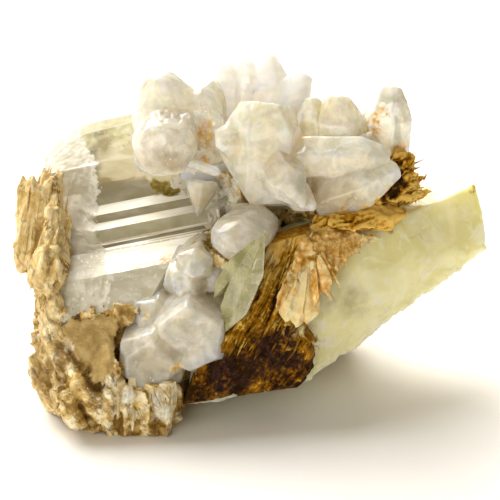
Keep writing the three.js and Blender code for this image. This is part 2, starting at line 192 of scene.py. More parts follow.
def hollows(points, faces, steps, depth):
    # how far each point lies under the relaxed surface: 1 in a hollow of that depth, -1 on a ridge
    under = ((relaxed(points, faces, steps, 0.9) - points) * normalsOf(points, faces)).sum(axis=1)
    return np.clip(under / depth, -1, 1)


def pushed(skin, amount):
    points, faces = skin
    return points + normalsOf(points, faces) * np.reshape(amount, (-1, 1)), faces


def gridFaces(rows, columns):
    # quads between neighbouring rows and columns; the last column joins the first
    row, column = np.meshgrid(np.arange(rows - 1), np.arange(columns), indexing="ij")
    here = row * columns + column
    beside = row * columns + (column + 1) % columns
    return np.stack([here, beside, beside + columns, here + columns], axis=-1).reshape(-1, 4)


def capFaces(ring, pole, turned):
    nextOne = np.roll(ring, -1)
    order = [nextOne, ring] if turned else [ring, nextOne]
    return np.stack([*order, np.full_like(ring, pole)], axis=1)


def tubeSkin(rings):
    # rings of points carried along a path, closed by a fan round the middle of each end ring
    rows, columns = rings.shape[:2]
    ends = np.stack([rings[0].mean(axis=0), rings[-1].mean(axis=0)])
    points = np.concatenate([rings.reshape(-1, 3), ends])
    first, last = np.arange(columns), np.arange(columns) + (rows - 1) * columns
    quads = gridFaces(rows, columns)
    caps = np.concatenate([capFaces(first, rows * columns, True), capFaces(last, rows * columns + 1, False)])
    return points, [quads, caps]


def joinedSkins(skins):
    points, quads, triangles, offset = [], [], [], 0
    for place, faces in skins:
        points.append(place)
        for f in faces:
            (quads if f.shape[1] == 4 else triangles).append(f + offset)
        offset += len(place)
    return np.concatenate(points), [np.concatenate(f) for f in (quads, triangles) if f]


def meshFrom(name, points, faces):
    mesh = bpy.data.meshes.new(name)
    corners = np.concatenate([f.ravel() for f in faces])
    widths = np.concatenate([np.full(len(f), f.shape[1]) for f in faces])
    mesh.vertices.add(len(points))
    mesh.vertices.foreach_set("co", points.astype(np.float32).ravel())
    mesh.loops.add(len(corners))
    mesh.loops.foreach_set("vertex_index", corners.astype(np.int32))
    mesh.polygons.add(len(widths))
    mesh.polygons.foreach_set("loop_start", (np.cumsum(widths) - widths).astype(np.int32))
    mesh.update(calc_edges=True)
    mesh.validate()
    return mesh


def fused(skins, voxel, rounds):
    # closed skins that overlap become one skin of small even squares, relaxed for some rounds
    points, faces = joinedSkins(skins)
    carrier = bpy.data.objects.new("carrier", meshFrom("carrier", points, faces))
    bpy.context.scene.collection.objects.link(carrier)
    remesh = carrier.modifiers.new("fuse", "REMESH")
    remesh.mode = "VOXEL"
    remesh.voxel_size = voxel
    remesh.adaptivity = 0
    made = carrier.evaluated_get(bpy.context.evaluated_depsgraph_get()).to_mesh()
    place = np.empty(len(made.vertices) * 3, np.float32)
    made.vertices.foreach_get("co", place)
    corners = np.empty(len(made.loops), np.int32)
    made.loops.foreach_get("vertex_index", corners)
    bpy.data.objects.remove(carrier)
    quads = [corners.reshape(-1, 4).astype(np.int64)]
    place = place.reshape(-1, 3).astype(float)
    return relaxed(place, quads, rounds), quads


def turnTo(foot, tip, roll):
    # the matrix that rolls round Y, then turns Y from foot to tip, as the solids are placed
    along = Vector(tip) - Vector(foot)
    turn = np.array(Vector((0, 1, 0)).rotation_difference(along).to_matrix())
    angle = math.radians(roll)
    spin = np.array([[math.cos(angle), 0, math.sin(angle)], [0, 1, 0], [-math.sin(angle), 0, math.cos(angle)]])
    return turn @ spin


def ballDirections(rows, columns):
    rise = np.pi * (np.arange(rows) + 0.5) / rows
    turn = 2 * np.pi * np.arange(columns) / columns
    rise, turn = np.meshgrid(rise, turn, indexing="ij")
    return np.stack([np.sin(rise) * np.sin(turn), np.cos(rise), np.sin(rise) * np.cos(turn)], axis=-1)


crystalForm = {"rows": 64, "columns": 96, "sharpness": 60}  # how finely a crystal is drawn, how sharp its edges are


def reachOf(directions, normals, depths):
    # how far the flat faces let each direction reach: their p-norm, so a high sharpness keeps edges sharp
    sharpness = crystalForm["sharpness"]
    towards = np.maximum(directions @ normals.T, 0) / depths
    return (towards**sharpness).sum(axis=-1) ** (-1 / sharpness)


def crystal(row, seed, chips, lean, cuts):
    # six side faces, six sloping faces to a blunt tip that may lean, a foot and some corner cuts, each a
    # direction and a depth from the middle; returns the skin they bound, and the faces with a shade for each
    foot, tip, width, flat, cap, blunt, roll = row
    rng = np.random.default_rng(seed)
    length = math.dist(foot, tip)
    inner = width / 2 * math.cos(math.pi / 6)
    angle = np.radians(30 + 60 * np.arange(6))
    outward = np.stack([np.sin(angle), np.zeros(6), np.cos(angle)], axis=1)
    slope = np.array([cap * width, inner * (1 - blunt)])
    slope = slope / np.linalg.norm(slope)
    normals = np.concatenate([outward, outward * slope[0] + [0, slope[1], 0], [[0, 1, 0], [0, -1, 0]]])
    slopeDepths = (slope[0] * inner + slope[1] * (length / 2 - cap * width)) * (1 + 0.04 * rng.uniform(-1, 1, 6))
    depths = np.concatenate([inner * (1 + 0.06 * rng.uniform(-1, 1, 6)), slopeDepths, [length / 2, length / 2]])
    ball = ballDirections(24, 36).reshape(-1, 3) * (width, length, width)
    ball = ball / np.linalg.norm(ball, axis=1, keepdims=True)
    way = rng.normal(0, 1, (chips, 3)) * (1, 0.7, 1)
    way = way / np.linalg.norm(way, axis=1, keepdims=True)
    furthest = (way @ (ball * reachOf(ball, normals, depths)[:, None]).T).max(axis=1)
    normals = np.concatenate([normals, way]) / (1, 1, flat)
    depths = np.concatenate([depths, furthest * rng.uniform(0.88, 0.97, chips)])
    size = np.linalg.norm(normals, axis=1)
    turn = turnTo(foot, tip, roll)
    normals, depths = normals / size[:, None] @ turn.T, depths / size
    middle = (np.array(foot) + np.array(tip)) / 2
    # the blunt end face, the thirteenth, leans over and meets the tip's high corner
    end = normals[12]
    sideways = np.array(lean) - np.dot(lean, end) * end
    corner = np.array(tip) - blunt * inner * sideways / max(np.linalg.norm(lean), 0.1)
    top = end + lean
    top = top / np.linalg.norm(top)
    normals[12], depths[12] = top, np.dot(top, corner - middle)
    for way, place in cuts:
        way = np.array(way) / np.linalg.norm(way)
        normals = np.concatenate([normals, [way]])
        depths = np.append(depths, np.dot(way, np.array(place) - middle))
    way = ballDirections(crystalForm["rows"], crystalForm["columns"]) * (width, length, width * flat)
    way = way / np.linalg.norm(way, axis=-1, keepdims=True) @ turn.T
    skin = tubeSkin(middle + way * reachOf(way, normals, depths)[..., None])
    return skin, (normals, depths, middle, rng.uniform(0, 1, len(normals)))


def settled(points, crystals, soft):
    # every point moves onto the nearest crystal's faces, with edges rounded over the soft distance; returns
    # the points, how near an edge is (1 on it) and the shade of the face each is on
    for turn in range(3):
        least, ridge, shade = np.full(len(points), 1e9), np.zeros(len(points)), np.zeros(len(points))
        way = np.zeros_like(points)
        for normals, depths, middle, shades in crystals:
            gap = (points - middle) @ normals.T - depths
            ordered = np.partition(gap, -2, axis=1)
            share = np.exp((gap - ordered[:, -1:]) / soft)
            total = share.sum(axis=1, keepdims=True)
            away = ordered[:, -1] + soft * np.log(total[:, 0])
            closer = away < least
            least = np.where(closer, away, least)
            way = np.where(closer[:, None], share / total @ normals, way)
            ridge = np.where(closer, fade(ordered[:, -1] - ordered[:, -2], 0.45, 0), ridge)
            shade = np.where(closer, shades[gap.argmax(axis=1)], shade)
        points = points - way * (least / np.maximum((way**2).sum(axis=1), 0.2))[:, None]
    return points, ridge, shade


sliverForm = {"rows": 5, "around": 4, "flat": 0.5, "bow": 0.1}
sliverPoints = sliverForm["rows"] * sliverForm["around"] + 2


def slivers(feet, tips, widths, rolls, blunt):
    # many slivers at once: rings round lines from foot to tip, pointed at both ends, or blunt as bars are
    rows, around = sliverForm["rows"], sliverForm["around"]
    count = len(feet)
    along = tips - feet
    heading = along / np.linalg.norm(along, axis=1, keepdims=True)
    helper = np.where(np.abs(heading[:, 2:]) < 0.9, [[0, 0, 1.0]], [[1.0, 0, 0]])
    across = np.cross(heading, helper)
    across /= np.linalg.norm(across, axis=1, keepdims=True)
    above = np.cross(across, heading)
    cos, sin = np.cos(rolls)[:, None], np.sin(rolls)[:, None]
    across, above = across * cos + above * sin, above * cos - across * sin
    t = np.linspace(0.03, 0.97, rows) if blunt else (np.arange(rows) + 0.5) / rows
    girth = (t * (1 - t)) ** 0.14 / 0.82 if blunt else t**0.5 * (1 - t) ** 0.75 / 0.52
    angle = 2 * np.pi * np.arange(around) / around
    bend = sliverForm["bow"] * 4 * t * (1 - t)
    half = widths[:, None, None] / 2 * girth[None, :, None]
    ring = (
        feet[:, None, None, :] + along[:, None, None, :] * t[None, :, None, None]
        + across[:, None, None, :] * (half * np.cos(angle))[..., None]
        + above[:, None, None, :] * (half * sliverForm["flat"] * np.sin(angle) + bend[None, :, None])[..., None]
    )
    points = np.concatenate([ring.reshape(count, rows * around, 3), feet[:, None], tips[:, None]], axis=1)
    first = np.arange(around)
    quads = gridFaces(rows, around)[:, ::-1]
    footCap = capFaces(first, sliverPoints - 2, False)
    tipCap = capFaces(first + (rows - 1) * around, sliverPoints - 1, True)
    caps = np.concatenate([footCap, tipCap])
    offsets = (np.arange(count) * sliverPoints)[:, None, None]
    return points.reshape(-1, 3), [(quads + offsets).reshape(-1, 4), (caps + offsets).reshape(-1, 3)]


def strewn(skin, where, way, count, lengths, widths, jitter, seed, blunt=False, lift=0.1):
    # slivers or bars that lie on a surface wherever the mask is above a half, all pointing nearly one way
    points, faces = skin
    rng = np.random.default_rng(seed)
    pick = rng.choice(np.flatnonzero(where > 0.5), count)
    outward = normalsOf(points, faces)[pick]
    heading = np.array(way) / np.linalg.norm(way) + rng.normal(0, jitter, (count, 3))
    length = rng.uniform(*lengths, (count, 1))
    feet = points[pick] - heading * length * 0.4 + outward * (lift - 0.3)
    tips = points[pick] + heading * length * 0.6 + outward * (lift + rng.uniform(-0.3, 0.35, (count, 1)))
    return slivers(feet, tips, rng.uniform(*widths, count), rng.uniform(0, math.pi, count), blunt)


def stretchedAlong(points, way, times):
    # points whose distances along one way are divided, so that a pattern drawn on them is stretched that way
    way = np.array(way) / np.linalg.norm(way)
    return points - np.outer(points @ way * (1 - 1 / times), way)


def bent(points, size, amount, seed):
    # points moved about by smooth noise, so that borders drawn on them wander
    return points + amount * np.stack([uneven(points, size, seed + k, 2) for k in range(3)], axis=1)


def solidSkin(nodeName):
    # a CAD solid's own surface with its loose triangles sewn together
    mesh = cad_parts[nodeName].data
    place = np.empty(len(mesh.vertices) * 3, np.float32)
    mesh.vertices.foreach_get("co", place)
    place = place.reshape(-1, 3).astype(float) / millimetre - shift
    mesh.calc_loop_triangles()
    corners = np.empty(len(mesh.loop_triangles) * 3, np.int32)
    mesh.loop_triangles.foreach_get("vertices", corners)
    points, where = np.unique(np.round(place, 3), axis=0, return_inverse=True)
    triangles = where.ravel()[corners].reshape(-1, 3)
    return points, [triangles]


def finishPiece(name, skin, material, node, marks, crease=0):
    # the piece's object, whose edges sharper than the crease angle shade as hard edges
    points, faces = skin
    placed = np.clip((points + shift) * millimetre, lowest, highest)
    mesh = meshFrom(name, placed, faces)
    for mark, values in marks.items():
        mesh.attributes.new(mark, "FLOAT", "POINT").data.foreach_set("value", values.astype(np.float32))
    mesh.polygons.foreach_set("use_smooth", np.ones(len(mesh.polygons), bool))
    if crease:
        mesh.set_sharp_from_angle(angle=math.radians(crease))
    mesh.materials.append(material)
    piece = bpy.data.objects.new(name, mesh)
    bpy.context.scene.collection.objects.link(piece)
    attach(piece, "root")
    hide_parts(node)
    print(name, "has", sum(len(f) * (f.shape[1] - 2) for f in faces), "triangles")


# material nodes


def tint(code):
    # a web colour as linear light
    value = np.array([int(code[k : k + 2], 16) / 255 for k in (0, 2, 4)])
    return (*np.where(value <= 0.04045, value / 12.92, ((value + 0.055) / 1.055) ** 2.4), 1.0)


def startMaterial(name, settings):
    material = bpy.data.materials.new(name)
    material.use_nodes = True
    shader = material.node_tree.nodes["Principled BSDF"]
    for socket, value in settings.items():
        shader.inputs[socket].default_value = value
    return material, material.node_tree, shader


def addNode(tree, kind, inputs, **settings):
    node = tree.nodes.new("ShaderNode" + kind)
    for key, value in settings.items():
        setattr(node, key, value)
    for key, value in inputs.items():
        if isinstance(value, bpy.types.NodeSocket):
            tree.links.new(value, node.inputs[key])
        else:
            node.inputs[key].default_value = value
    return node


def placeIn(tree, size, stretch=(1, 1, 1), turn=(0, 0, 0)):
    # Object coordinates turned so a grain runs the right way, with one unit to each size in millimetres
    place = addNode(tree, "TexCoord", {}).outputs["Object"]
    turned = addNode(tree, "Mapping", {"Vector": place, "Rotation": [math.radians(a) for a in turn]})
    scale = [s / (size * millimetre) for s in stretch]
    return addNode(tree, "Mapping", {"Vector": turned.outputs[0], "Scale": scale}).outputs[0]


def grain(tree, size, detail=3, stretch=(1, 1, 1), turn=(0, 0, 0), rough=0.55, warp=0.0):
    inputs = {"Vector": placeIn(tree, size, stretch, turn), "Scale": 1, "Detail": detail, "Roughness": rough}
    return addNode(tree, "TexNoise", {**inputs, "Distortion": warp}).outputs["Fac"]


def clouds(tree, size, detail, low, high, start=0.0, end=1.0, **more):
    # grain as a mark that rises between two of its values
    return between(tree, grain(tree, size, detail, **more), low, high, start, end)


def flecks(tree, size):
    return addNode(tree, "TexVoronoi", {"Vector": placeIn(tree, size), "Scale": 1}, feature="F1").outputs["Distance"]


def mark(tree, name):
    return addNode(tree, "Attribute", {}, attribute_name=name).outputs["Fac"]


def maths(tree, operation, first, *others):
    # one operation over all the values, two at a time
    for value in others:
        first = addNode(tree, "Math", {0: first, 1: value}, operation=operation).outputs[0]
    return first


def times(tree, *values):
    return maths(tree, "MULTIPLY", *values)


def plus(tree, *values):
    return maths(tree, "ADD", *values)


def largest(tree, *values):
    return maths(tree, "MAXIMUM", *values)


def without(tree, share):
    return maths(tree, "SUBTRACT", 1.0, share)


def between(tree, value, low, high, start=0.0, end=1.0):
    inputs = {"Value": value, "From Min": low, "From Max": high, "To Min": start, "To Max": end}
    return addNode(tree, "MapRange", inputs, interpolation_type="SMOOTHSTEP").outputs["Result"]


def blended(tree, share, first, second):
    node = addNode(tree, "Mix", {0: share}, data_type="RGBA")
    for index, value in ((6, first), (7, second)):
        if isinstance(value, bpy.types.NodeSocket):
            tree.links.new(value, node.inputs[index])
        else:
            node.inputs[index].default_value = tint(value)
    return node.outputs[2]


def layered(tree, colour, *layers):
    # colours laid over one another, each with the share that it covers
    for share, over in layers:
        colour = blended(tree, share, colour, over)
    return colour


def ramp(tree, value, stops):
    node = addNode(tree, "ValToRGB", {"Fac": value})
    while len(node.color_ramp.elements) < len(stops):
        node.color_ramp.elements.new(0.5)
    for element, (place, code) in zip(node.color_ramp.elements, stops):
        element.position = place
        element.color = tint(code)
    return node.outputs["Color"]


def bumped(tree, height, depth, strength=1.0, under=None):
    inputs = {"Height": height, "Distance": depth * millimetre, "Strength": strength}
    if under is not None:
        inputs["Normal"] = under
    return addNode(tree, "Bump", inputs).outputs["Normal"]


def wire(tree, shader, links):
    for socket, value in links.items():
        tree.links.new(value, shader.inputs[socket])


def absorbing(tree, code, density):
    # light is tinted on its way through the body
    inside = addNode(tree, "VolumeAbsorption", {"Color": tint(code), "Density": density})
    tree.links.new(inside.outputs[0], tree.nodes["Material Output"].inputs["Volume"])


def cloudy(weight, depth, radius, gloss):
    # light that goes a little way into the body
    return {
        "Subsurface Weight": weight, "Subsurface Scale": depth, "Subsurface Radius": radius,
        "Specular IOR Level": gloss,
    }


# quartz

milky = {"roughness": 0.09, "ior": 1.54, "gloss": 0.6}


def quartzMaterial(name, body, bright, shade, clear, depth=0.006):
    # milky crystal: cloudy inside, with painted highlights on its edges and painted glints, painted shade in hollows,
    # in shaded spots and a little on each face, and stained in spots
    settings = {"IOR": milky["ior"], **cloudy(1.0, depth, (1.0, 0.85, 0.6), milky["gloss"])}
    material, tree, shader = startMaterial(name, settings)
    wisp = maths(tree, "ABSOLUTE", plus(tree, grain(tree, 4.2, 2, warp=1.0), -0.5), 0.0)
    edges = between(tree, mark(tree, "ridge"), 0.3, 1.0, 0, 0.36)
    glints = times(tree, between(tree, flecks(tree, 0.9), 0.24, 0.12), clouds(tree, 2.6, 3, 0.5, 0.6), 0.8)
    stain = times(tree, mark(tree, "stain"), clouds(tree, 1.2, 5, 0.34, 0.54, 0, 0.92))
    rusty = [(0.3, "7E5C20"), (0.42, "C89C40"), (0.56, "DEBA68"), (0.72, "F0DEAE")]
    colour = layered(
        tree, body,
        (clouds(tree, 4.5, 3, 0.35, 0.65, warp=0.8), bright),
        (clouds(tree, 1.9, 3, 0.5, 0.68, 0, 0.6, warp=0.8), "FFFFFC"),
        (between(tree, wisp, 0.0, 0.05, 0.12, 0), "FFFEFA"),
        # painted shade in the shade colour: a random share on each face, partly the face's own milkiness and partly the
        # light on it, then the spots of painted shade, then the hollows
        (times(tree, mark(tree, "shade"), 0.17), shade),
        (times(tree, mark(tree, "paintedShadeSpots"), 0.75), shade),
        (between(tree, mark(tree, "hollowShade"), 0.35, 1.0, 0, 0.6), shade),
        # painted highlights on the edges, broken up by grain, and painted white glints
        (times(tree, edges, clouds(tree, 1.8, 3, 0.4, 0.62)), "FFFDF6"),
        (glints, "FFFFFF"),
        (stain, ramp(tree, grain(tree, 0.7, 4), rusty)),
    )
    clarity = clouds(tree, 2.4, 3, 0.3, 0.7, clear * 0.7, min(1.0, clear * 1.3), warp=0.5)
    wire(tree, shader, {
        "Base Color": colour,
        "Transmission Weight": times(tree, clarity, without(tree, stain)),
        "Roughness": clouds(tree, 2.0, 3, 0.3, 0.7, milky["roughness"] * 0.5, milky["roughness"] * 2),
        "Normal": bumped(tree, grain(tree, 1.6, 2), 0.1, 0.5),
    })
    return material


def quartzPiece(name, node, group, material):
    # the crystals are fused into one skin, whose points then settle on the crystals' own flat faces
    made, count = [], len(group["crystals"])
    for k, row in enumerate(group["crystals"]):
        made.append(crystal(row, k + count, group["chips"], group["lean"], group["cuts"].get(k, ())))
    skins, planes = zip(*made)
    points, faces = fused(skins, group["voxel"], 0)
    for rounds in (2, 1):
        points = settled(points, planes, group["edge"])[0]
        points = relaxed(points, faces, rounds, 0.4)
    points, ridge, shade = settled(points, planes, group["edge"])
    for turn in range(group.get("fillets", 0)):  # the creases between crystals fill up
        crease = fade(hollows(points, faces, 40, 0.6), 0.05, 0.6)
        points = relaxedWhere(points, faces, 40, crease, 0.9)
    druse = spots(points, group["druse"], 0.5, 0.5, 6)
    # spots of painted shade, where the crystals lie in shadow
    paintedShadeSpots = spots(points, group["paintedShadeSpots"], 0.25, 0.9, 10)
    rise = 0.22 * uneven(points, 3.5, 3, 2) + 0.07 * brokenCells(points, 2.6, 5, 0.9)[0]
    rise = rise + 0.05 * uneven(points, 0.9, 9, 2)
    rise = rise + druse * (0.36 * brokenCells(points, 1.0, 7, 1.4)[0] + 0.1)
    points, faces = pushed((points, faces), rise * group["wear"])
    marks = {
        # painted shade in the hollows and creases
        "hollowShade": hollows(points, faces, 12, 0.35),
        "stain": spots(points, group["stains"], 0.5, 0.5, 8),
        "paintedShadeSpots": paintedShadeSpots,
        # ridge paints highlights: on edges outside the spots of painted shade, and in flecks on the druse
        "ridge": np.maximum(ridge * (1 - paintedShadeSpots), druse * (smoothNoise(points, 0.7, 11, 2) > 0.5)),
        # a random painted shade for each face, partly the face's own milkiness and partly the light on it
        "shade": shade,
    }
    finishPiece(name, (points, faces), material, node, marks)


# each row: foot, tip, width, flatness, cap, bluntness, roll
# besides its crystals, each group lists stain spots, spots of painted shade and druse spots, each (x, y, z, radius)
leftGroup = {
    "crystals": [
        ((-14.2, 8, 36), (-14.4, 9.6, 54.6), 13, 1, 0.42, 0.4, 30),
        ((-12.5, 12, 43.8), (-15, -4.2, 43.6), 12.4, 1, 0.24, 0.25, 12),
        ((-7.8, 6, 38), (-8.6, 9, 52.0), 9, 1, 0.4, 0.5, 10),
        ((-6.3, 10, 40), (-6.4, 13, 53.2), 7.4, 1, 0.7, 0.4, 0),
        ((-9.5, 9, 43), (-4, 4, 48), 7, 1, 0.4, 0.4, 0),
        ((-8.5, 9, 38), (-6.6, 0.6, 44), 6, 1, 0.5, 0.3, 0),
        ((-9, 9, 38), (-9.8, -1, 41), 6, 1, 0.5, 0.3, 0),
        ((-12, 12, 40), (-19, 9, 45), 8, 1, 0.5, 0.4, 15),
    ],
    "chips": 4, "voxel": 0.2, "edge": 0.8, "wear": 1.3, "lean": (0, 0, 0), "cuts": {}, "fillets": 3,
    "stains": [(-7.6, 3.4, 43.9, 2.8), (-6.6, 4.0, 46.6, 1.4), (-9.8, 2.4, 41.4, 1.4), (-8.4, 3.0, 40.8, 2.0)],
    "paintedShadeSpots": [(-14, -4, 41.6, 7)],
    "druse": [
        (-14, 2.4, 48, 2.4), (-10.5, 3, 47.6, 2.2), (-7.4, 4.4, 48, 2.2), (-11, 0.5, 36.9, 2.2),
        (-8.8, 1.6, 37.2, 2.4), (-6.8, 2.4, 37.3, 2.2),
    ],
}
mainGroup = {
    "crystals": [
        ((1.0, 3, 30), (2.2, 2.4, 52.6), 14.4, 0.85, 0.46, 0.5, -20),
        ((2.8, 3, 42.4), (9.0, -7.6, 36.2), 7.4, 1, 0.7, 0.14, 35),
        ((-1.4, 5, 44), (-4.4, -1.6, 45.6), 6.6, 1, 0.4, 0.5, 0),
        ((4, 3, 37.6), (11.0, -5.6, 35.2), 5.6, 1, 0.7, 0.14, 10),
        ((5, 3, 40.8), (23.6, 2.4, 41.2), 8.8, 0.85, 0.45, 0.5, 0),
        ((8, 8, 36), (11, 0.4, 37.8), 8.6, 1, 0.4, 0.35, 15),
        ((11, 2, 34.4), (25.4, 1.2, 39.8), 10.4, 0.9, 0.6, 0.3, 0),
        ((14.8, 9, 33), (14.8, 9, 50.2), 9.6, 1, 0.45, 0.3, 20),
        ((11.6, 9, 36), (10.4, 8.6, 49.8), 6.2, 1, 0.6, 0.3, 0),
        ((18, 9, 35), (18.6, 8.4, 46.8), 6.4, 1, 0.7, 0.2, 20),
        ((-8.2, 5.4, 35.4), (-8.9, 2.2, 30.2), 6.4, 0.6, 0.8, 0.08, 0),
    ],
    "chips": 2, "voxel": 0.2, "edge": 0.08, "wear": 0.8, "lean": (0.06, 0.55, 0),
    "cuts": {0: [
        ((-0.84, -0.1, -0.55), (-3.1, -3, 39.4)), ((0, -0.5, -0.86), (0, -4, 35.6)),
        ((-0.75, -0.16, 0.64), (0.3, -2, 52.0)), ((-0.72, -0.69, 0.05), (-0.3, -2.4, 44)),
        ((0.2, -0.97, 0.12), (-0.3, -2.4, 44)),
    ]},
    "stains": [
        (19.4, -1.5, 33.4, 1.9), (21.9, -1.2, 34.4, 1.9), (23.6, -0.8, 36.2, 1.5), (16, -2.6, 33, 1.5),
        (9.4, 3.4, 43.6, 1.6), (24.8, 1, 41.4, 1.4),
    ],
    "paintedShadeSpots": [
        (-8.8, 3, 32.6, 4.5), (10, -1.4, 36.4, 3.6), (13, -3, 35, 4), (16, -3, 36, 4), (10, -8, 33.4, 4.5),
        (14, -7, 33, 3.5), (8, 0, 38, 3),
    ],
    "druse": [(-4.6, -2.6, 45.8, 2.6), (8.4, -7.6, 37.4, 1.4)],
}
tallPoint = {
    "crystals": [
        ((22.6, 9, 34), (24.0, 10.4, 51.4), 9.0, 1, 0.62, 0.4, 15),
        ((20.6, 11, 35), (20.6, 12, 45.6), 7.6, 1, 0.4, 0.5, 0),
        ((21, 7, 36), (19.6, 5.4, 44.4), 5, 1, 0.5, 0.3, 0),
    ],
    "chips": 2, "voxel": 0.19, "edge": 0.12, "wear": 1.0, "lean": (0.1, 0.4, 0), "cuts": {},
    "stains": [(20.8, 6.8, 45.2, 2.6), (25.4, 6.6, 41, 1.8), (24, 6.4, 49.6, 1.2), (22.4, 7, 47.4, 1.2)],
    "paintedShadeSpots": [(21, 5, 42, 4), (24.6, 6, 40, 3.4)],
    "druse": [(20.6, 6, 45, 1.8)],
}
rearRow = {
    "crystals": [
        ((-3.6, 14, 37), (-4.3, 15.5, 53.2), 7.0, 1, 0.5, 0.35, 24),
        ((-0.4, 15, 37), (-0.9, 16.5, 53.4), 6.8, 1, 0.45, 0.4, 8),
        ((3, 15, 37), (3.4, 16.5, 54.45), 7.6, 1, 0.62, 0.18, 14),
        ((3.4, 14, 41), (9.8, 15, 51.4), 7.6, 1, 0.5, 0.35, 20),
        ((14.6, 14, 35), (12.4, 14.5, 47.2), 4.6, 1, 0.6, 0.15, 0),
        ((17, 14, 35), (16.2, 15, 46.4), 5.2, 1, 0.6, 0.4, 0),
        ((-11, 15, 35), (-12, 19, 46.6), 6, 1, 0.7, 0.15, 0),
        ((-6, 16, 34), (-7, 21.5, 47), 6.4, 1, 0.7, 0.15, 0),
        ((0, 17, 34), (0, 22, 46.6), 7, 1, 0.6, 0.15, 0),
        ((5, 17, 33), (5.2, 22.6, 42), 5.6, 1, 0.7, 0.15, 0),
        ((15, 15, 33), (15.4, 20.6, 41.6), 6, 1, 0.7, 0.15, 0),
        ((-16, 15, 36), (-18.2, 19, 43.4), 5.4, 1, 0.6, 0.15, 0),
        ((-12, 15, 35), (18, 15, 36), 9, 1, 0.3, 0.5, 0),
    ],
    "chips": 2, "voxel": 0.22, "edge": 0.08, "wear": 0.9, "lean": (0.1, 0.2, 0), "cuts": {},
    "stains": [(9, 14, 46, 2.0), (5, 18, 35, 3.0), (-8, 18, 36, 2.4)],
    "paintedShadeSpots": [(8, 12, 44, 3), (-10, 20, 38, 5), (8, 20, 36, 5)],
    "druse": [(0, 13, 49, 1.8)],
}
frontLumps = {
    "crystals": [
        ((-9, -1, 18), (-10.2, -19.4, 15.8), 14, 0.9, 0.22, 0.66, 0),
        ((-14, -4, 15), (-17.4, -20.4, 11.6), 12.6, 1, 0.3, 0.5, 24),
        ((-9, 0, 23), (-11, -12.6, 23.6), 9, 1, 0.35, 0.4, 18),
        ((-5, 0, 25), (-6.6, -11.4, 23.4), 6.4, 1, 0.4, 0.35, 0),
        ((-15, -5, 19), (-17.6, -15, 18), 7, 1, 0.4, 0.3, 0),
        ((-8, -2, 26), (-9.6, -12.4, 27.0), 7, 1, 0.35, 0.4, 0),
    ],
    "chips": 2, "voxel": 0.21, "edge": 0.1, "wear": 1.2, "lean": (0.12, 0, 0.3), "cuts": {},
    "stains": [(-12.6, -18.6, 12.4, 1.8), (-17.6, -14.6, 20.4, 2.0), (-9.4, -19.4, 10.6, 1.6)],
    "paintedShadeSpots": [(-17.4, -20, 12, 6.5), (-15, -18, 9, 5), (-8, -12, 24, 2.4)],
    "druse": [(-12.4, -13, 24.4, 1.8), (-5.8, -12.4, 25, 1.4)],
}
knob = {
    "crystals": [((1.4, 0, 30.2), (-3.9, -12, 30.8), 10.4, 0.74, 0.3, 0.5, 0)],
    "chips": 5, "voxel": 0.16, "edge": 0.32, "wear": 1.3, "lean": (0, 0, 0.2), "cuts": {},
    "stains": [(4.6, -8.4, 29.4, 1.8)], "paintedShadeSpots": [(-2, -11, 27.4, 3.4)], "druse": [(-5.4, -10.4, 31, 1.4)],
}
sliver = {
    "crystals": [((-10.9, 0.1, 41.5), (-4.9, -1.4, 39.8), 1.9, 1, 0.4, 0.4, 15)],
    "chips": 0, "voxel": 0.08, "edge": 0.06, "wear": 0.3, "lean": (0, 0, 0), "cuts": {},
    "stains": [], "paintedShadeSpots": [], "druse": [],
}


def makeQuartz():
    warm = quartzMaterial("warmQuartz", "FAF0DA", "FFFBF0", "C8B48A", 0.4, 0.005)
    # the lump's copy has a darker shade colour, for deeper painted shade
    lump = quartzMaterial("lumpQuartz", "FBF2E0", "FFFCF2", "98845C", 0.4, 0.005)
    pale = quartzMaterial("paleQuartz", "FFF9E6", "FFFEF8", "E6D8B0", 0.46)
    # a whiter copy for the rear row: painted light, as if the row were lit from behind
    backlitRear = quartzMaterial("backlitRearQuartz", "FFFEF8", "FFFFFE", "FAF4E0", 0.24, 0.009)
    grey = quartzMaterial("greyQuartz", "E8DFCA", "F6F1E5", "B0A07A", 0.38)
    quartzPiece("quartzMainCrystals", "quartz_main_group", mainGroup, warm)
    quartzPiece("quartzLeftCrystals", "quartz_left_group", leftGroup, lump)
    quartzPiece("quartzTallCrystal", "quartz_tall_point", tallPoint, pale)
    quartzPiece("quartzRearCrystals", "quartz_rear_row", rearRow, backlitRear)
    quartzPiece("quartzFrontBlocks", "quartz_front_lumps", frontLumps, grey)
    quartzPiece("quartzKnobCrystal", "quartz_knob", knob, grey)
    quartzPiece("quartzSliverCrystal", "quartz_sliver", sliver, grey)


makeQuartz()

# clear striped crystal

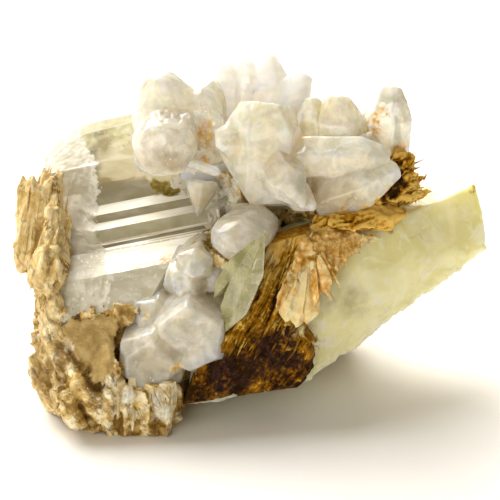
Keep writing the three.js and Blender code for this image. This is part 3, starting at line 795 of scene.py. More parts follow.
prism = {
    "edge": (-19, 13.4, 36.6),
    "recede": 0.14,
    "climb": 0.15,
    "crestClimb": 0.19,
    "steps": [
        (0, 0), (3.6, -6.3), (6.8, -6.6), (7.4, -7.9), (9.7, -8.2), (10.5, -10.2), (11.2, -10.4), (11.6, -10.9),
        (12.2, -11.1), (20.4, -11.8), (25.2, -16.4), (23, -20), (8, -22), (-1, -14),
    ],
    "worn": [
        (0, 0), (3, -3.6), (5.6, -5.4), (6.4, -6.1), (8.6, -7.7), (9.7, -8.6), (10.6, -9.3), (11.4, -9.8),
        (12.6, -10.6), (20.4, -11.8),
    ],
    "crest": [(-8, -10), (-10, 0), (-9, 4.6), (-5.6, 4.2), (-0.6, 0.6)],
    "crestSunk": [(-0.9, -11), (-0.8, -8), (-0.6, -5), (-0.4, -2.5), (-0.2, -0.8)],
    "crestFall": [0, 2, 3.6, 3.2, 1.2],
    # each end's x, and how far it slants for a millimetre outwards
    "ends": ((-34.6, 0.13), (2.6, 0.78)),
    # the x between which the crest ends, and the steps' corners become worn
    "crestEnd": (-5.5, -8.5),
    "wornFrom": (-26.4, -29.4),
    "spacing": 0.25,
    "along": 190,
    "cap": (0.99, 0.965, 0.92, 0.8, 0.6, 0.35, 0.12),
    # where the frost ends: heights, and x at each
    "frostEdge": (
        [23, 24, 25.2, 26.5, 28, 30, 32, 36, 40],
        [-23.6, -24.0, -25.0, -26.1, -26.3, -26.3, -26.2, -26.8, -30.5],
    ),
    # each mark: its spots, and how ragged and soft they are, with their seed
    "crust": (
        [(-12.4, 11, 33, 1.6), (-9.6, 10, 32.6, 2.6), (-6.6, 9.2, 32.2, 3.4), (-4.4, 8, 31.4, 3.0), (-5, 4, 29.4, 2.6)],
        0.7, 0.2, 22,
    ),
    "stain": (
        [(-15.2, 10.8, 31.6, 2.1), (-13.2, 10.5, 31.7, 1.8), (-16.4, 11.2, 32.2, 1.2), (-7.4, 1.4, 27.4, 1.8)],
        0.6, 0.3, 23,
    ),
    "pale": ([(-22, 16.6, 40.2, 3.2), (-28.6, 16.6, 37.6, 2.6), (-24, 20, 41, 4)], 0.7, 0.5, 33),
    "grey": ([(-25.4, 15.4, 38.2, 2.6), (-27, 14.6, 37.6, 1.8)], 0.4, 0.6, 34),
}


def prismSkin():
    # the stepped outline, with a sample on each corner and close beside it, carried sideways; the crest's
    # share of the outline sinks into the rest past its end
    count, total = len(prism["steps"]), len(prism["steps"]) + len(prism["crest"])
    corners = np.array(prism["steps"] + prism["crest"])
    fall = np.array([0.0] * count + prism["crestFall"])
    climb = np.array([prism["climb"]] * count + [prism["crestClimb"]] * (total - count))
    sunk = np.concatenate([corners[:count], prism["crestSunk"]])
    worn = np.concatenate([prism["worn"], corners[len(prism["worn"]) :]])
    after = (np.arange(total) + 1) % total
    lengths = np.linalg.norm(corners[after] - corners, axis=1)
    run = np.concatenate([[0], np.cumsum(lengths)])
    counts = [max(3, int(size / prism["spacing"])) for size in lengths]
    places = [np.append(0, np.linspace(0.07, size - 0.07, count)) for size, count in zip(lengths, counts)]
    side = np.repeat(np.arange(total), [len(p) for p in places])
    part = (np.concatenate(places) / lengths[side])[:, None]
    shelf = run[side] + part[:, 0] * lengths[side]
    t = np.linspace(0, 1, prism["along"])[:, None]
    out = (corners[side] * (1 - part) + corners[after[side]] * part)[:, 0]
    (start, startSlant), (end, endSlant) = prism["ends"]
    x = (start + startSlant * out) * (1 - t) + (end - endSlant * np.maximum(out, -1)) * t
    here = fade(x, *prism["crestEnd"])[..., None]
    sink = np.clip((x + 27) / -7.6, 0, 1)[..., None] ** 2.2
    wear = fade(x, *prism["wornFrom"])[..., None]

    def atCorner(k):
        kept = corners[k] * (1 - wear) + worn[k] * wear
        return kept * here + sunk[k] * (1 - here) - sink * np.array([0, 1.0]) * fall[k][:, None]

    outline = atCorner(side) * (1 - part) + atCorner(after[side]) * part
    across = x - prism["edge"][0]
    rise = climb[side] * (1 - part[:, 0]) + climb[after[side]] * part[:, 0]
    y = prism["edge"][1] - outline[..., 0] + prism["recede"] * across
    z = prism["edge"][2] + outline[..., 1] + rise * across
    rings = np.stack([x, y, z], axis=-1)
    caps = np.array(prism["cap"])[:, None, None]
    left = rings[0].mean(axis=0) * (1 - caps) + rings[0] * caps - np.array([0.5, 0, 0]) * (1 - caps**6)
    right = rings[-1].mean(axis=0) * (1 - caps) + rings[-1] * caps
    rings = np.concatenate([left[::-1], rings, right])
    return tubeSkin(rings), np.append(np.tile(shelf, len(rings)), [0, 0]), run


def prismMaterial():
    # clear body; the frost, crust and patches are cloudier, and the treads are cloudier and painted near white as a
    # painted reflection, each by its own mark
    material, tree, shader = startMaterial("clearDatolite", {"IOR": 1.6, "Specular IOR Level": 0.36})
    names = ("frost", "treadReflection", "pale", "stain", "spark")
    frost, treadReflection, pale, stain, spark = [mark(tree, name) for name in names]
    frostGrain = grain(tree, 3.0, 3, (1, 0.6, 0.6), warp=0.6)
    colour = layered(
        tree, "D0C6A2",
        (clouds(tree, 2.2, 5, 0.35, 0.68, stretch=(0.4, 1, 1), warp=0.7), "F0EAD2"),
        (pale, ramp(tree, grain(tree, 1.6, 4), [(0.35, "BDB77E"), (0.65, "ECE8C4")])),
        (mark(tree, "grey"), "9E9470"),
        # painted reflection: the treads near white, as if they mirrored a bright light
        (treadReflection, ramp(tree, grain(tree, 1.4, 4, (0.2, 1, 1)), [(0.34, "F4EFDA"), (0.6, "FFFFFA")])),
        (times(tree, mark(tree, "line"), 0.7), "9A7A44"),
        (times(tree, mark(tree, "glow"), clouds(tree, 0.8, 5, 0.38, 0.6)), "E0A840"),
        (stain, ramp(tree, grain(tree, 0.7, 4), [(0.3, "5C4A10"), (0.55, "857022"), (0.75, "B5A45A")])),
        (times(tree, frost, 0.8), ramp(tree, frostGrain, [(0.32, "C6BEAA"), (0.5, "DED8C8"), (0.68, "F0ECE0")])),
        (spark, "FFFDF4"),
    )
    dim = largest(tree, frost, spark, treadReflection, stain, times(tree, pale, 0.8))
    rough = times(tree, largest(tree, frost, pale), 0.6)
    wire(tree, shader, {
        "Base Color": colour,
        "Transmission Weight": times(tree, without(tree, times(tree, dim, 0.85)), 0.62),
        "Roughness": plus(tree, clouds(tree, 1.6, 3, 0.4, 0.7, 0.05, 0.14), rough),
        "Normal": bumped(tree, grain(tree, 0.7, 2, (0.05, 1, 1), (0, 8.5, -8)), 0.04, 0.4),
    })
    absorbing(tree, "C9C08C", 40.0)
    return material


def makePrism():
    (points, faces), shelf, run = prismSkin()
    x, y, z = points.T

    def onSides(first, last):
        return ((shelf > run[first] - 0.02) & (shelf < run[last] + 0.02)).astype(float)

    def lined(width, length, seed):
        # noise in lines that follow the outline's corners
        return smoothNoise(np.stack([shelf / width, x / length, 0 * x], axis=1), 1, seed, 2)

    ragged = 1.5 * uneven(points, 1.6, 21, 2) + 1.6 * uneven(points, 0.5, 29, 3)
    border = x - np.interp(z, *prism["frostEdge"])
    frost = fade(border + ragged, 0.25, -0.25)
    hazy = 0.55 + 0.45 * fade(smoothNoise(points * (0.7, 1, 1), 1.6, 30, 3), 0.3, 0.62)
    rim = fade(border + 1.6 * ragged, -2.2, -0.8) * frost * fade(smoothNoise(points, 0.6, 37, 3), 0.34, 0.5)
    crust = spots(points, *prism["crust"]) * (smoothNoise(points, 0.5, 24, 3) > 0.36)
    frost = np.clip(frost * np.maximum(hazy, rim) * 0.95, 0, 1)
    face, ledge, top = onSides(9, 10), onSides(8, 9), onSides(15, 17)
    treads = onSides(1, 2) + onSides(3, 4) + onSides(5, 6) + onSides(7, 9)
    lines = fade(lined(0.13, 12, 25), 0.56, 0.66) * (onSides(5, 8) + ledge * fade(shelf, run[8] + 2.2, run[8] + 0.2))
    glow = ledge * fade(shelf, run[9] - 3.2, run[9] - 0.6) * fade(x, -26, -20)
    streak = smoothNoise(np.stack([x / 0.8, y / 0.36, z / 0.36], axis=1), 1, 31, 4)
    spark = 0.9 * rim * fade(x, -30, -28) * fade(z, 26, 28) + 0.7 * face * fade(streak, 0.6, 0.72)
    spark = spark + ledge * fade(smoothNoise(points, 0.5, 32, 2), 0.7, 0.76)
    pale = spots(points, *prism["pale"]) * onSides(14, 19)
    pale = np.maximum(pale, np.maximum(onSides(4, 5) * 0.4, 0.9 * top))
    chips = 0.14 * brokenCells(points, 0.9, 27, 1)[0] + 0.16 * smoothNoise(points, 0.6, 28, 2)
    chips = chips * np.maximum(0.7 * frost, crust)
    chips = chips + 0.12 * face * (streak - 0.5) + 0.14 * pale * uneven(points, 0.9, 35, 3)
    skin = pushed((points, faces), 0.07 * (lined(0.5, 30, 26) - 0.5) + chips)
    marks = {
        "frost": np.maximum(frost, np.maximum(crust, face * 0.45)),
        # where the treads' painted reflection goes, but not on the frost
        "treadReflection": treads * (1 - frost),
        "line": lines,
        "glow": glow,
        "spark": np.clip(spark, 0, 1),
        "stain": spots(points, *prism["stain"]) * (1 - crust),
        "pale": pale,
        "grey": np.maximum(spots(points, *prism["grey"]), 0.55 * top),
    }
    finishPiece("stripedCrystal", skin, prismMaterial(), "datolite_prism", marks)


makePrism()

# pale slab

slab = {
    "sections": [
        [(-9, -10, 15), (-10, -14, 11), (-11, -18.2, 4.6), (-8, 2, 4), (-8, 3, 15)],
        [(0, -7.4, 26), (0, -12, 18), (-1.7, -16.4, 5.4), (0, 5, 4.6), (0, 5, 24)],
        [(9, -5, 29.4), (8.4, -11, 20), (8.4, -12.8, 5.4), (9, 8, 6), (9, 8, 28)],
        [(17, -3.2, 30.2), (16.4, -8.4, 22), (17, -8, 9.6), (17, 12, 9), (17, 11, 29.6)],
        [(25.4, 0.6, 31), (25.5, -3.6, 24), (25.5, -4, 15.2), (25, 14, 14), (25, 13, 31)],
        [(33.2, 5, 32.2), (32.8, 0.6, 26), (32.4, -1, 18.9), (32, 14.6, 18.6), (32.4, 14, 31)],
        [(38.6, 8, 33.9), (40.4, 4.4, 29), (40.5, 3, 24.2), (38, 12, 24), (37.4, 13, 31)],
    ],
    "along": 260,
    "around": 300,
    "cap": (0.985, 0.95, 0.88, 0.75, 0.55, 0.3, 0.1),
    # the rough lower edge: x, and its height at each
    "lowerEdge": ([8, 17, 25, 32, 40], [5.6, 9.8, 15.2, 18.9, 24.2]),
    # each mark: its spots, and how ragged and soft they are, with their seed
    "grey": ([(13.4, -10, 21, 5.0), (17, -8, 19, 4.0), (9, -12, 16, 3.2)], 0.3, 0.8, 35),
    "white": (
        [(12.7, -9.8, 12.8, 1.5), (12.2, -9.9, 15.4, 1.3), (22, -5.7, 18.3, 1.2), (39.6, 3.4, 26, 2.4)],
        0.5, 0.4, 36,
    ),
    "stain": (
        [
            (38.5, 7.6, 33.6, 1.3), (33, 2, 28.6, 0.8), (24, -2, 29.4, 1.0), (10.6, -12, 13, 2.4),
            (10, -12.6, 17, 1.8), (10.6, -12.6, 9.6, 2.0),
        ],
        0.8, 0.4, 37,
    ),
}


def softened(values, width, axis, wrap):
    # a moving mean along one axis of a grid
    kernel = np.hanning(width + 2)[1:-1]
    kernel = kernel / kernel.sum()
    padding = [(0, 0)] * values.ndim
    padding[axis] = (width // 2, width // 2)
    padded = np.pad(values, padding, mode="wrap" if wrap else "edge")
    return np.apply_along_axis(lambda line: np.convolve(line, kernel, "valid"), axis, padded)


def slabSkin():
    # five-cornered sections, blended along the slab, their corners rounded a little
    sections = np.array(slab["sections"], float)
    station = np.linspace(0, len(sections) - 1, slab["along"])
    low = np.minimum(station.astype(int), len(sections) - 2)
    part = (station - low)[:, None, None]
    rows = softened(sections[low] * (1 - part) + sections[low + 1] * part, 21, 0, False)
    lengths = np.linalg.norm(np.roll(rows, -1, axis=1) - rows, axis=2).mean(axis=0)
    run = np.concatenate([[0], np.cumsum(lengths)])
    where = run[-1] * np.arange(slab["around"]) / slab["around"]
    side = np.clip(np.searchsorted(run, where, side="right") - 1, 0, 4)
    part = ((where - run[side]) / lengths[side])[None, :, None]
    rings = rows[:, side] * (1 - part) + rows[:, (side + 1) % 5] * part
    near = np.exp(-(((where - run[1]) / 5.0) ** 2))[None, :, None]
    rings = softened(rings, 7, 1, True) * (1 - near) + softened(rings, 61, 1, True) * near
    caps = np.array(slab["cap"])[:, None, None]
    left = rings[0].mean(axis=0) * (1 - caps) + rings[0] * caps
    right = rings[-1].mean(axis=0) * (1 - caps) + rings[-1] * caps + np.array([0.3, 0, 0]) * (1 - caps**4)
    return tubeSkin(np.concatenate([left[::-1], rings, right])[:, ::-1])


def slabMaterial():
    settings = {"IOR": 1.62, **cloudy(1.0, 0.004, (0.9, 0.9, 0.5), 0.12)}
    material, tree, shader = startMaterial("paleDatolite", settings)
    stain = times(tree, mark(tree, "stain"), clouds(tree, 0.7, 5, 0.42, 0.6))
    colour = layered(
        tree, "E2DB9E",
        (clouds(tree, 6.0, 4, 0.34, 0.7, warp=0.8), "F1ECC0"),
        (clouds(tree, 2.2, 5, 0.5, 0.7, 0, 0.8, warp=1.2), "F0EDD2"),
        (times(tree, mark(tree, "grey"), 0.7), ramp(tree, grain(tree, 1.2, 4), [(0.35, "9A9166"), (0.65, "C4BC92")])),
        (times(tree, mark(tree, "white"), 0.85), "EAE6CC"),
        (stain, ramp(tree, grain(tree, 0.5, 4), [(0.35, "7A5418"), (0.65, "B98C40")])),
    )
    wire(tree, shader, {
        "Base Color": colour,
        "Transmission Weight": clouds(tree, 4.0, 3, 0.3, 0.7, 0.04, 0.2),
        "Roughness": clouds(tree, 1.6, 3, 0.3, 0.7, 0.35, 0.6),
        "Normal": bumped(tree, grain(tree, 1.8, 2), 0.16, 0.6),
    })
    return material


def makeSlab():
    points, faces = slabSkin()
    x, z = points[:, 0], points[:, 2]
    facet = brokenCells(bent(points, 5, 3, 38), 6.5, 31, 0.8)[0]
    pits = fade(smoothNoise(points, 1.5, 32, 2), 0.62, 0.8) * fade(x, 16, 24)
    rise = 0.12 * facet + 0.8 * uneven(points, 6, 33, 2) + 0.16 * uneven(points, 1.8, 34, 2)
    edge = fade(z - np.interp(x, *slab["lowerEdge"]), 1.6, 0)
    rise = rise - 0.05 * pits + edge * 0.3 * brokenCells(points, 1.3, 39, 1.2)[0]
    points, faces = pushed((points, faces), rise)
    x = points[:, 0]
    upper = fade(normalsOf(points, faces)[:, 2], 0.5, 0.85) * fade(x, 22, 26)
    marks = {
        "grey": np.maximum(spots(points, *slab["grey"]), upper),
        "white": np.maximum(spots(points, *slab["white"]), edge * 0.6 * fade(x, 6, 10)),
        "stain": spots(points, *slab["stain"]),
    }
    finishPiece("paleSlab", (points, faces), slabMaterial(), "datolite_slab", marks)


makeSlab()

# green blades

greenBlades = {
    "right": ((-4.2, -15.4, 17.0), (2.6, -12.2, 34.4), 6.0, 0.36, 24),
    "left": ((-6.0, -13.8, 22.6), (1.0, -12.6, 33.0), 4.2, 0.4, 50),
}


def bladeSkin(foot, tip, width, flat, roll, rows=150, columns=96, ends=(0.22, 0.6)):
    # a four-sided outline carried from foot to tip, widest near both ends, with slightly worn edges
    length = math.dist(foot, tip)
    t = np.linspace(0.004, 0.996, rows)[:, None]
    girth = np.interp(t, [0, ends[0], ends[1], 1], [0, 0.8, 0.85, 0]) * width / 2
    angle = 2 * np.pi * np.arange(columns) / columns
    square = (np.abs(np.sin(angle)) ** 1.06 + np.abs(np.cos(angle)) ** 1.06) ** (-1 / 1.06)
    side, above = girth * square * np.sin(angle), flat * girth * square * np.cos(angle)
    rings = np.stack([side, length * t + 0 * angle, above], axis=-1)
    return tubeSkin((rings @ turnTo(foot, tip, roll).T + np.array(foot))[:, ::-1])


def bladeMaterial():
    material, tree, shader = startMaterial("greenBlade", {"IOR": 1.6})
    colour = layered(
        tree, "9C9553",
        (clouds(tree, 1.6, 4, 0.35, 0.7, stretch=(1, 0.4, 0.4)), "C2BA82"),
        (clouds(tree, 1.8, 3, 0.5, 0.66, 0, 0.4, stretch=(1, 0.2, 0.2)), "D9D6AC"),
    )
    wire(tree, shader, {
        "Base Color": colour,
        "Transmission Weight": clouds(tree, 2.2, 3, 0.3, 0.7, 0.2, 0.45),
        "Roughness": clouds(tree, 1.6, 2, 0.3, 0.7, 0.2, 0.36),
        "Normal": bumped(tree, grain(tree, 0.9, 2, (1, 0.3, 0.3)), 0.06, 0.5),
    })
    absorbing(tree, "B9BC7C", 90.0)
    return material


def makeBlades():
    material = bladeMaterial()
    for side, node in (("right", "green_blade_right"), ("left", "green_blade_left")):
        points, faces = bladeSkin(*greenBlades[side])
        rise = 0.05 * brokenCells(points, 1.6, 41, 0.8)[0] + 0.06 * uneven(points, 1.6, 42, 2)
        points, faces = pushed((points, faces), rise)
        finishPiece("greenBlade" + side.capitalize(), (points, faces), material, node, {})


makeBlades()

# rusty and tan fibres

rust = {
    "rows": [
        ((2, -8, 29), (10, -5.6, 30.6)),
        ((1, -9.4, 26.4), (9.4, -8.4, 26.6)),
        ((0, -11, 22.8), (8.6, -11.2, 21.6)),
        ((-3, -14, 19), (9.6, -12.6, 17.6)),
        ((-5.4, -16, 16), (10.8, -13.2, 13.6)),
        ((-8.4, -18, 12), (10.4, -13.4, 9.6)),
        ((-11.2, -19.6, 5.4), (8.6, -13.4, 5.6)),
    ],
    "bands": [-0.45, -0.4, 0.0, 0.3, 0.16, -0.3, 0.06, 0.3, 0.1, -0.15],
    "depth": 4.5,
    "down": 230,
    "across": 210,
    "behind": 20,
    "way": (-0.5, -0.36, -0.78),
    "fibres": 150,
    # where across the front each band is
    "bandPlaces": [0, 0.07, 0.15, 0.3, 0.44, 0.52, 0.6, 0.78, 0.92, 1],
    # each mark: its spots, and how ragged and soft they are, with their seed
    "purple": (
        [
            (5.2, -15, 15.4, 3.0), (2.6, -15.4, 14.2, 2.6), (4.5, -15, 12, 3.6), (1, -16, 11.4, 3.0),
            (-4.4, -18, 10, 3.4), (-1.6, -17.6, 8.8, 2.2), (7, -14, 11, 2.4),
        ],
        0.6, 0.35, 65,
    ),
    "glassy": ([(3.4, -8.6, 28.8, 2.2), (5.6, -7.8, 29.8, 1.8), (8.4, -14, 16.6, 1.6)], 0.6, 0.6, 97),
}


def rustSurface(u, v):
    # the layer's front at u down and v across, both from 0 to 1
    rows = np.array(rust["rows"], float)
    place = np.clip(u, 0, 1) * (len(rows) - 1)
    low = np.minimum(place.astype(int), len(rows) - 2)
    part = fade(place - low, 0, 1)[..., None] * 0.4 + 0.6 * (place - low)[..., None]
    left = rows[low, 0] * (1 - part) + rows[low + 1, 0] * part
    right = rows[low, 1] * (1 - part) + rows[low + 1, 1] * part
    return left * (1 - v[..., None]) + right * v[..., None]


def fibreMaterial(name, dark, middle, light, bright, patch, size, roughness, gloss):
    # streaks that follow each fibre: its tone mark picks the shade, fine grain varies it along the way
    material, tree, shader = startMaterial(name, cloudy(0.4, 0.001, (1.0, 0.6, 0.25), gloss))
    tone = plus(tree, mark(tree, "tone"), clouds(tree, size, 5, 0.25, 0.75, -0.2, 0.2, warp=0.5))
    colour = layered(
        tree, ramp(tree, tone, [(0.08, dark), (0.36, middle), (0.62, light), (0.9, bright)]),
        (mark(tree, "patch"), ramp(tree, grain(tree, 0.9, 5), list(zip((0.3, 0.5, 0.68), patch)))),
        (times(tree, mark(tree, "rim"), clouds(tree, 1.2, 4, 0.3, 0.6)), "DDD5A2"),
    )
    wire(tree, shader, {
        "Base Color": colour,
        "Roughness": clouds(tree, 0.6, 4, 0.3, 0.7, roughness * 0.6, roughness * 1.3),
        "Normal": bumped(tree, grain(tree, 0.35, 5, rough=0.65), 0.1, 0.8),
    })
    return material


def makeRustBundle(material):
    # the front is a relief of streaks that run slantwise down; a plain back closes each ring of the layer
    u = np.linspace(0, 1, rust["down"])[:, None]
    v = np.linspace(0, 1, rust["across"])[None, :]
    u, v = np.broadcast_arrays(u, v)
    front = rustSurface(u, v)
    ragged = uneven(np.stack([u[:, 0] * 16, 0 * u[:, 0], 0 * u[:, 0]], axis=1), 1, 66, 3)
    ragged = 3.4 * ragged[:, None] * fade(v, 0.75, 1) * fade(u, 0.35, 0.55)
    front = front + np.array([1.0, 0.6, 0]) * ragged[..., None]
    lane, down = (v + 0.5 * u).ravel(), u.ravel()
    flow = np.stack([lane * 10, down * 1.6, 0 * down], axis=1)
    wide = uneven(flow, 1, 62, 2).reshape(u.shape)
    fine = uneven(flow * (4, 4, 1), 1, 63, 3).reshape(u.shape)
    thread = uneven(flow * (9, 8, 1), 1, 67, 2).reshape(u.shape)
    lumps = uneven(front.reshape(-1, 3), 2.0, 64, 4).reshape(u.shape)
    crumbs = uneven(front.reshape(-1, 3), 0.5, 68, 2).reshape(u.shape)
    rim = np.minimum(np.minimum(u, 1 - u), np.minimum(v, 1 - v))
    low = fade(u, 0.4, 0.75)
    depth = 1.9 * wide + (0.8 - 0.5 * low) * fine + 0.16 * thread + (0.9 + 1.1 * low) * lumps
    depth = (depth + 0.25 * crumbs) * fade(rim, 0, 0.04) - 1.0 * (1 - fade(rim, 0, 0.05)) + 0.3
    front = front + np.array([0, -1, 0.15]) * depth[..., None]
    vBack = np.linspace(1, 0, rust["behind"])[None, :]
    back = rustSurface(*np.broadcast_arrays(u[:, :1], vBack)) + np.array([0, rust["depth"], 0])
    base = tubeSkin(np.concatenate([front, back], axis=1)[:, ::-1])
    bands = np.interp(v + 0.12 * wide + 0.1 * u, rust["bandPlaces"], rust["bands"])
    tone = 0.5 + (1 - 0.7 * low) * bands + 0.6 * wide + 0.35 * fine + 0.16 * thread + 0.14 * crumbs
    tone = tone + low * 0.9 * lumps + 0.3 * np.minimum(lumps, 0)
    tone = tone + 0.38 * fade(u, 0.36, 0.14) - 0.1 * fade(u, 0.05, 0.45) - 0.3 * fade(u, 0.5, 0.9)
    tone = tone + 0.4 * fade(crumbs, 0.18, 0.3) * fade(lumps, -0.05, 0.1)
    hidden = (rust["down"], rust["behind"])
    hiddenTone = np.broadcast_to(0.2 + 0.45 * fade(u[:, :1], 0.14, 0.02), hidden)
    tone = np.concatenate([tone, hiddenTone], axis=1)[:, ::-1]
    tone = np.append(np.clip(tone, 0, 1).ravel(), [0.65, 0.2])
    mask = np.concatenate([(rim > 0.08) & (u < 0.7), np.zeros(hidden, bool)], axis=1)[:, ::-1]
    mask = np.append(mask.ravel(), [False, False]).astype(float)
    fibres = strewn(base, mask, rust["way"], rust["fibres"], (1.6, 5.0), (0.25, 0.7), 0.07, 61)
    rng = np.random.default_rng(61)
    fibreTone = rng.normal(0.55, 0.2, rust["fibres"]) - 0.2 * fade(fibres[0][::sliverPoints, 2], 20, 8)
    points, faces = joinedSkins([base, fibres])
    purple = 0.35 + 0.65 * fade(smoothNoise(points, 0.7, 69, 3), 0.36, 0.5)
    glassy = fade(smoothNoise(stretchedAlong(points, rust["way"], 5), 0.8, 98, 2), 0.4, 0.6)
    marks = {
        "tone": np.concatenate([tone, np.repeat(np.clip(fibreTone, 0, 1), sliverPoints)]),
        "patch": spots(points, *rust["purple"]) * purple,
        "rim": 0.8 * spots(points, *rust["glassy"]) * glassy,
    }
    finishPiece("rustFibres", (points, faces), material, "rust_bundle", marks)


fan = {
    "hub": (10.4, -5.6, 31),
    # where the crust's right border is: heights, and x at each
    "border": ([19, 21, 24, 29], [13.2, 15.0, 17.2, 21.6]),
    # each blade: where it ends, width, roll, tone
    "blades": [
        ((4.6, -14.0, 20.4), 3.4, 10, 0.6), ((5.8, -14.8, 18.6), 5.4, 35, 0.8),
        ((7.6, -15.0, 17.8), 5.6, -10, 0.95), ((9.4, -14.6, 18.0), 4.8, 20, 0.85),
        ((10.8, -13.6, 20.4), 3.6, 60, 0.6), ((13.0, -12.6, 22.6), 3.4, 10, 0.75),
        ((14.4, -11.0, 24.2), 2.8, 40, 0.5),
    ],
    # small loose blades on each side: their way, and the x between which that side begins
    "loose": [((-0.25, -0.45, -0.7), (12, 11)), ((0.45, -0.3, -0.75), (11, 12))],
    "looseCount": 18,
    "mottle": ("96681A", "CCA052", "ECD8A0"),
}


def makeFan():
    # a lumpy crust, with faceted blades on it that spread from one hub
    points, faces = fused([solidSkin("tan_fan")], 0.26, 8)
    points = relaxedWhere(points, faces, 90, fade(points[:, 0], 10, 13))
    rise = 0.2 * brokenCells(bent(points, 2, 1.2, 75), 1.7, 76, 1.2)[0] + 0.7 * uneven(points, 1.2, 77, 4) - 0.3
    crust = pushed((points, faces), rise)
    tone = 0.5 + 0.9 * uneven(crust[0], 1.3, 78, 4) + 0.5 * fade(smoothNoise(crust[0], 2.0, 79, 2), 0.55, 0.7)
    # the crust's tone is darker in its hollows: painted shade
    skins, tones = [crust], [tone - 0.25 * hollows(*crust, 8, 0.3)]
    for k, (end, width, roll, tone) in enumerate(fan["blades"]):
        points, faces = bladeSkin(fan["hub"], end, width, 0.6, roll, 90, 28, (0.7, 0.86))
        ripple = uneven(stretchedAlong(points, np.array(end) - fan["hub"], 5), 0.6, 70 + k, 2)
        skins.append(pushed((points, faces), 0.3 * ripple + 0.5 * uneven(points, 1.2, 90 + k, 2)))
        along = np.linalg.norm(points - fan["hub"], axis=1) / math.dist(fan["hub"], end)
        tones.append(tone + 0.6 * ripple - 0.25 * fade(along, 0.5, 0.0) - 0.1 * fade(along, 0.86, 1.0))
    rng = np.random.default_rng(71)
    blades, count = joinedSkins(skins[1:]), fan["looseCount"]
    for way, side in fan["loose"]:
        mask = fade(blades[0][:, 0], *side)
        skins.append(strewn(blades, mask, way, count, (1.4, 3.0), (0.3, 0.8), 0.1, 72, lift=-0.25))
        tones.append(np.repeat(rng.uniform(0.45, 0.95, count), sliverPoints))
    points, faces = joinedSkins(skins)
    x, z = points[:, 0], points[:, 2]
    patch = fade(x + 2.0 * uneven(points, 1.6, 74, 3), 11.5, 13.5)
    ragged = uneven(points, 1.2, 95, 3)
    rightRim = fade(x - np.interp(z, *fan["border"]) + 2.4 * ragged, -4.0, -1.0)
    marks = {
        "tone": np.clip(np.concatenate(tones), 0, 1),
        "patch": np.maximum(patch, fade(z, 27.6, 29.4) * 0.8),
        "rim": np.maximum(rightRim, 0.85 * fade(z + 3 * ragged, 21.6, 18.4)),
    }
    material = fibreMaterial("tanFibre", "74500E", "B9842E", "E3B468", "F7DAA2", fan["mottle"], 0.9, 0.28, 0.2)
    finishPiece("tanFanBlades", (points, faces), material, "tan_fan", marks, 40)


spray = {
    "way": (0.86, 0.28, 0.42),
    "blades": 110,
    # each mark: its spots, and how ragged and soft they are, with their seed
    "dark": ([(24, 0.6, 35.6, 1.9), (25, 1.2, 36.8, 1.5), (22.6, -0.4, 34.6, 1.4)], 0.8, 0.6, 82),
    "gold": ([(28, 1.6, 33.6, 3.6), (24.4, -0.8, 33, 3.0), (21.4, -1.2, 33, 2.4)], 0.5, 0.8, 86),
}


def makeSpray(material):
    # a fibrous lump with many short blades that point out to the right
    body = fused([solidSkin("rust_spray")], 0.21, 4)
    grainy = uneven(stretchedAlong(body[0], spray["way"], 6), 0.6, 83, 3)
    lumps = uneven(body[0], 1.8, 84, 3)
    body = pushed(body, 1.0 * grainy + 0.8 * lumps + 0.3 * brokenCells(body[0], 1.2, 85, 1.2)[0])
    mask = np.ones(len(body[0]))
    blades = strewn(body, mask, spray["way"], spray["blades"], (0.9, 2.6), (0.35, 1.0), 0.32, 81)
    # the tone is darker in hollows: painted shade
    tone = 0.5 + 0.9 * grainy + 0.8 * lumps - 0.2 * hollows(*body, 8, 0.3)
    bladeTone = np.random.default_rng(82).uniform(0.25, 0.8, spray["blades"])
    tone = np.concatenate([tone, np.repeat(bladeTone, sliverPoints)])
    points, faces = joinedSkins([body, blades])
    # the dark spots are painted shade in a recess, with a little of the purple patch
    dark = spots(points, *spray["dark"])
    tone = tone + 0.12 - 0.9 * dark + 0.42 * spots(points, *spray["gold"])
    marks = {"tone": np.clip(tone, 0, 1), "patch": dark * 0.15}
    finishPiece("rustSprayFibres", (points, faces), material, "rust_spray", marks, 40)


ledge = {"way": (0.9, 0.2, 0.3), "gold": ([(20.6, -0.7, 33.3, 2.8), (24, -1, 32.8, 2.8)], 0.6, 0.6, 96)}


def makeLedge(material):
    points, faces = fused([solidSkin("rust_ledge")], 0.2, 6)
    rise = 0.16 * brokenCells(bent(points, 2, 1.2, 94), 1.5, 91, 1.2)[0] + 0.4 * uneven(points, 1.0, 92, 3)
    threads = uneven(stretchedAlong(points, ledge["way"], 5), 0.8, 99, 3)
    points, faces = pushed((points, faces), rise + 1.1 * threads + 0.1)
    # the tone is darker in hollows: painted shade
    tone = 0.8 + 1.0 * threads + 0.8 * uneven(points, 1.3, 93, 4) - 0.3 * hollows(points, faces, 10, 0.3)
    tone = tone + 0.5 * spots(points, *ledge["gold"])
    marks = {"tone": np.clip(tone, 0, 1), "patch": np.zeros(len(points))}
    finishPiece("rustLedgeCrust", (points, faces), material, "rust_ledge", marks)


def makeFibres():
    purple = ("1E130F", "33211A", "5C3118")
    material = fibreMaterial("rustFibre", "2E1A05", "7A4E08", "B07C16", "DCB65E", purple, 0.8, 0.55, 0.06)
    makeRustBundle(material)
    makeFan()
    makeSpray(material)
    makeLedge(material)


makeFibres()

# rock

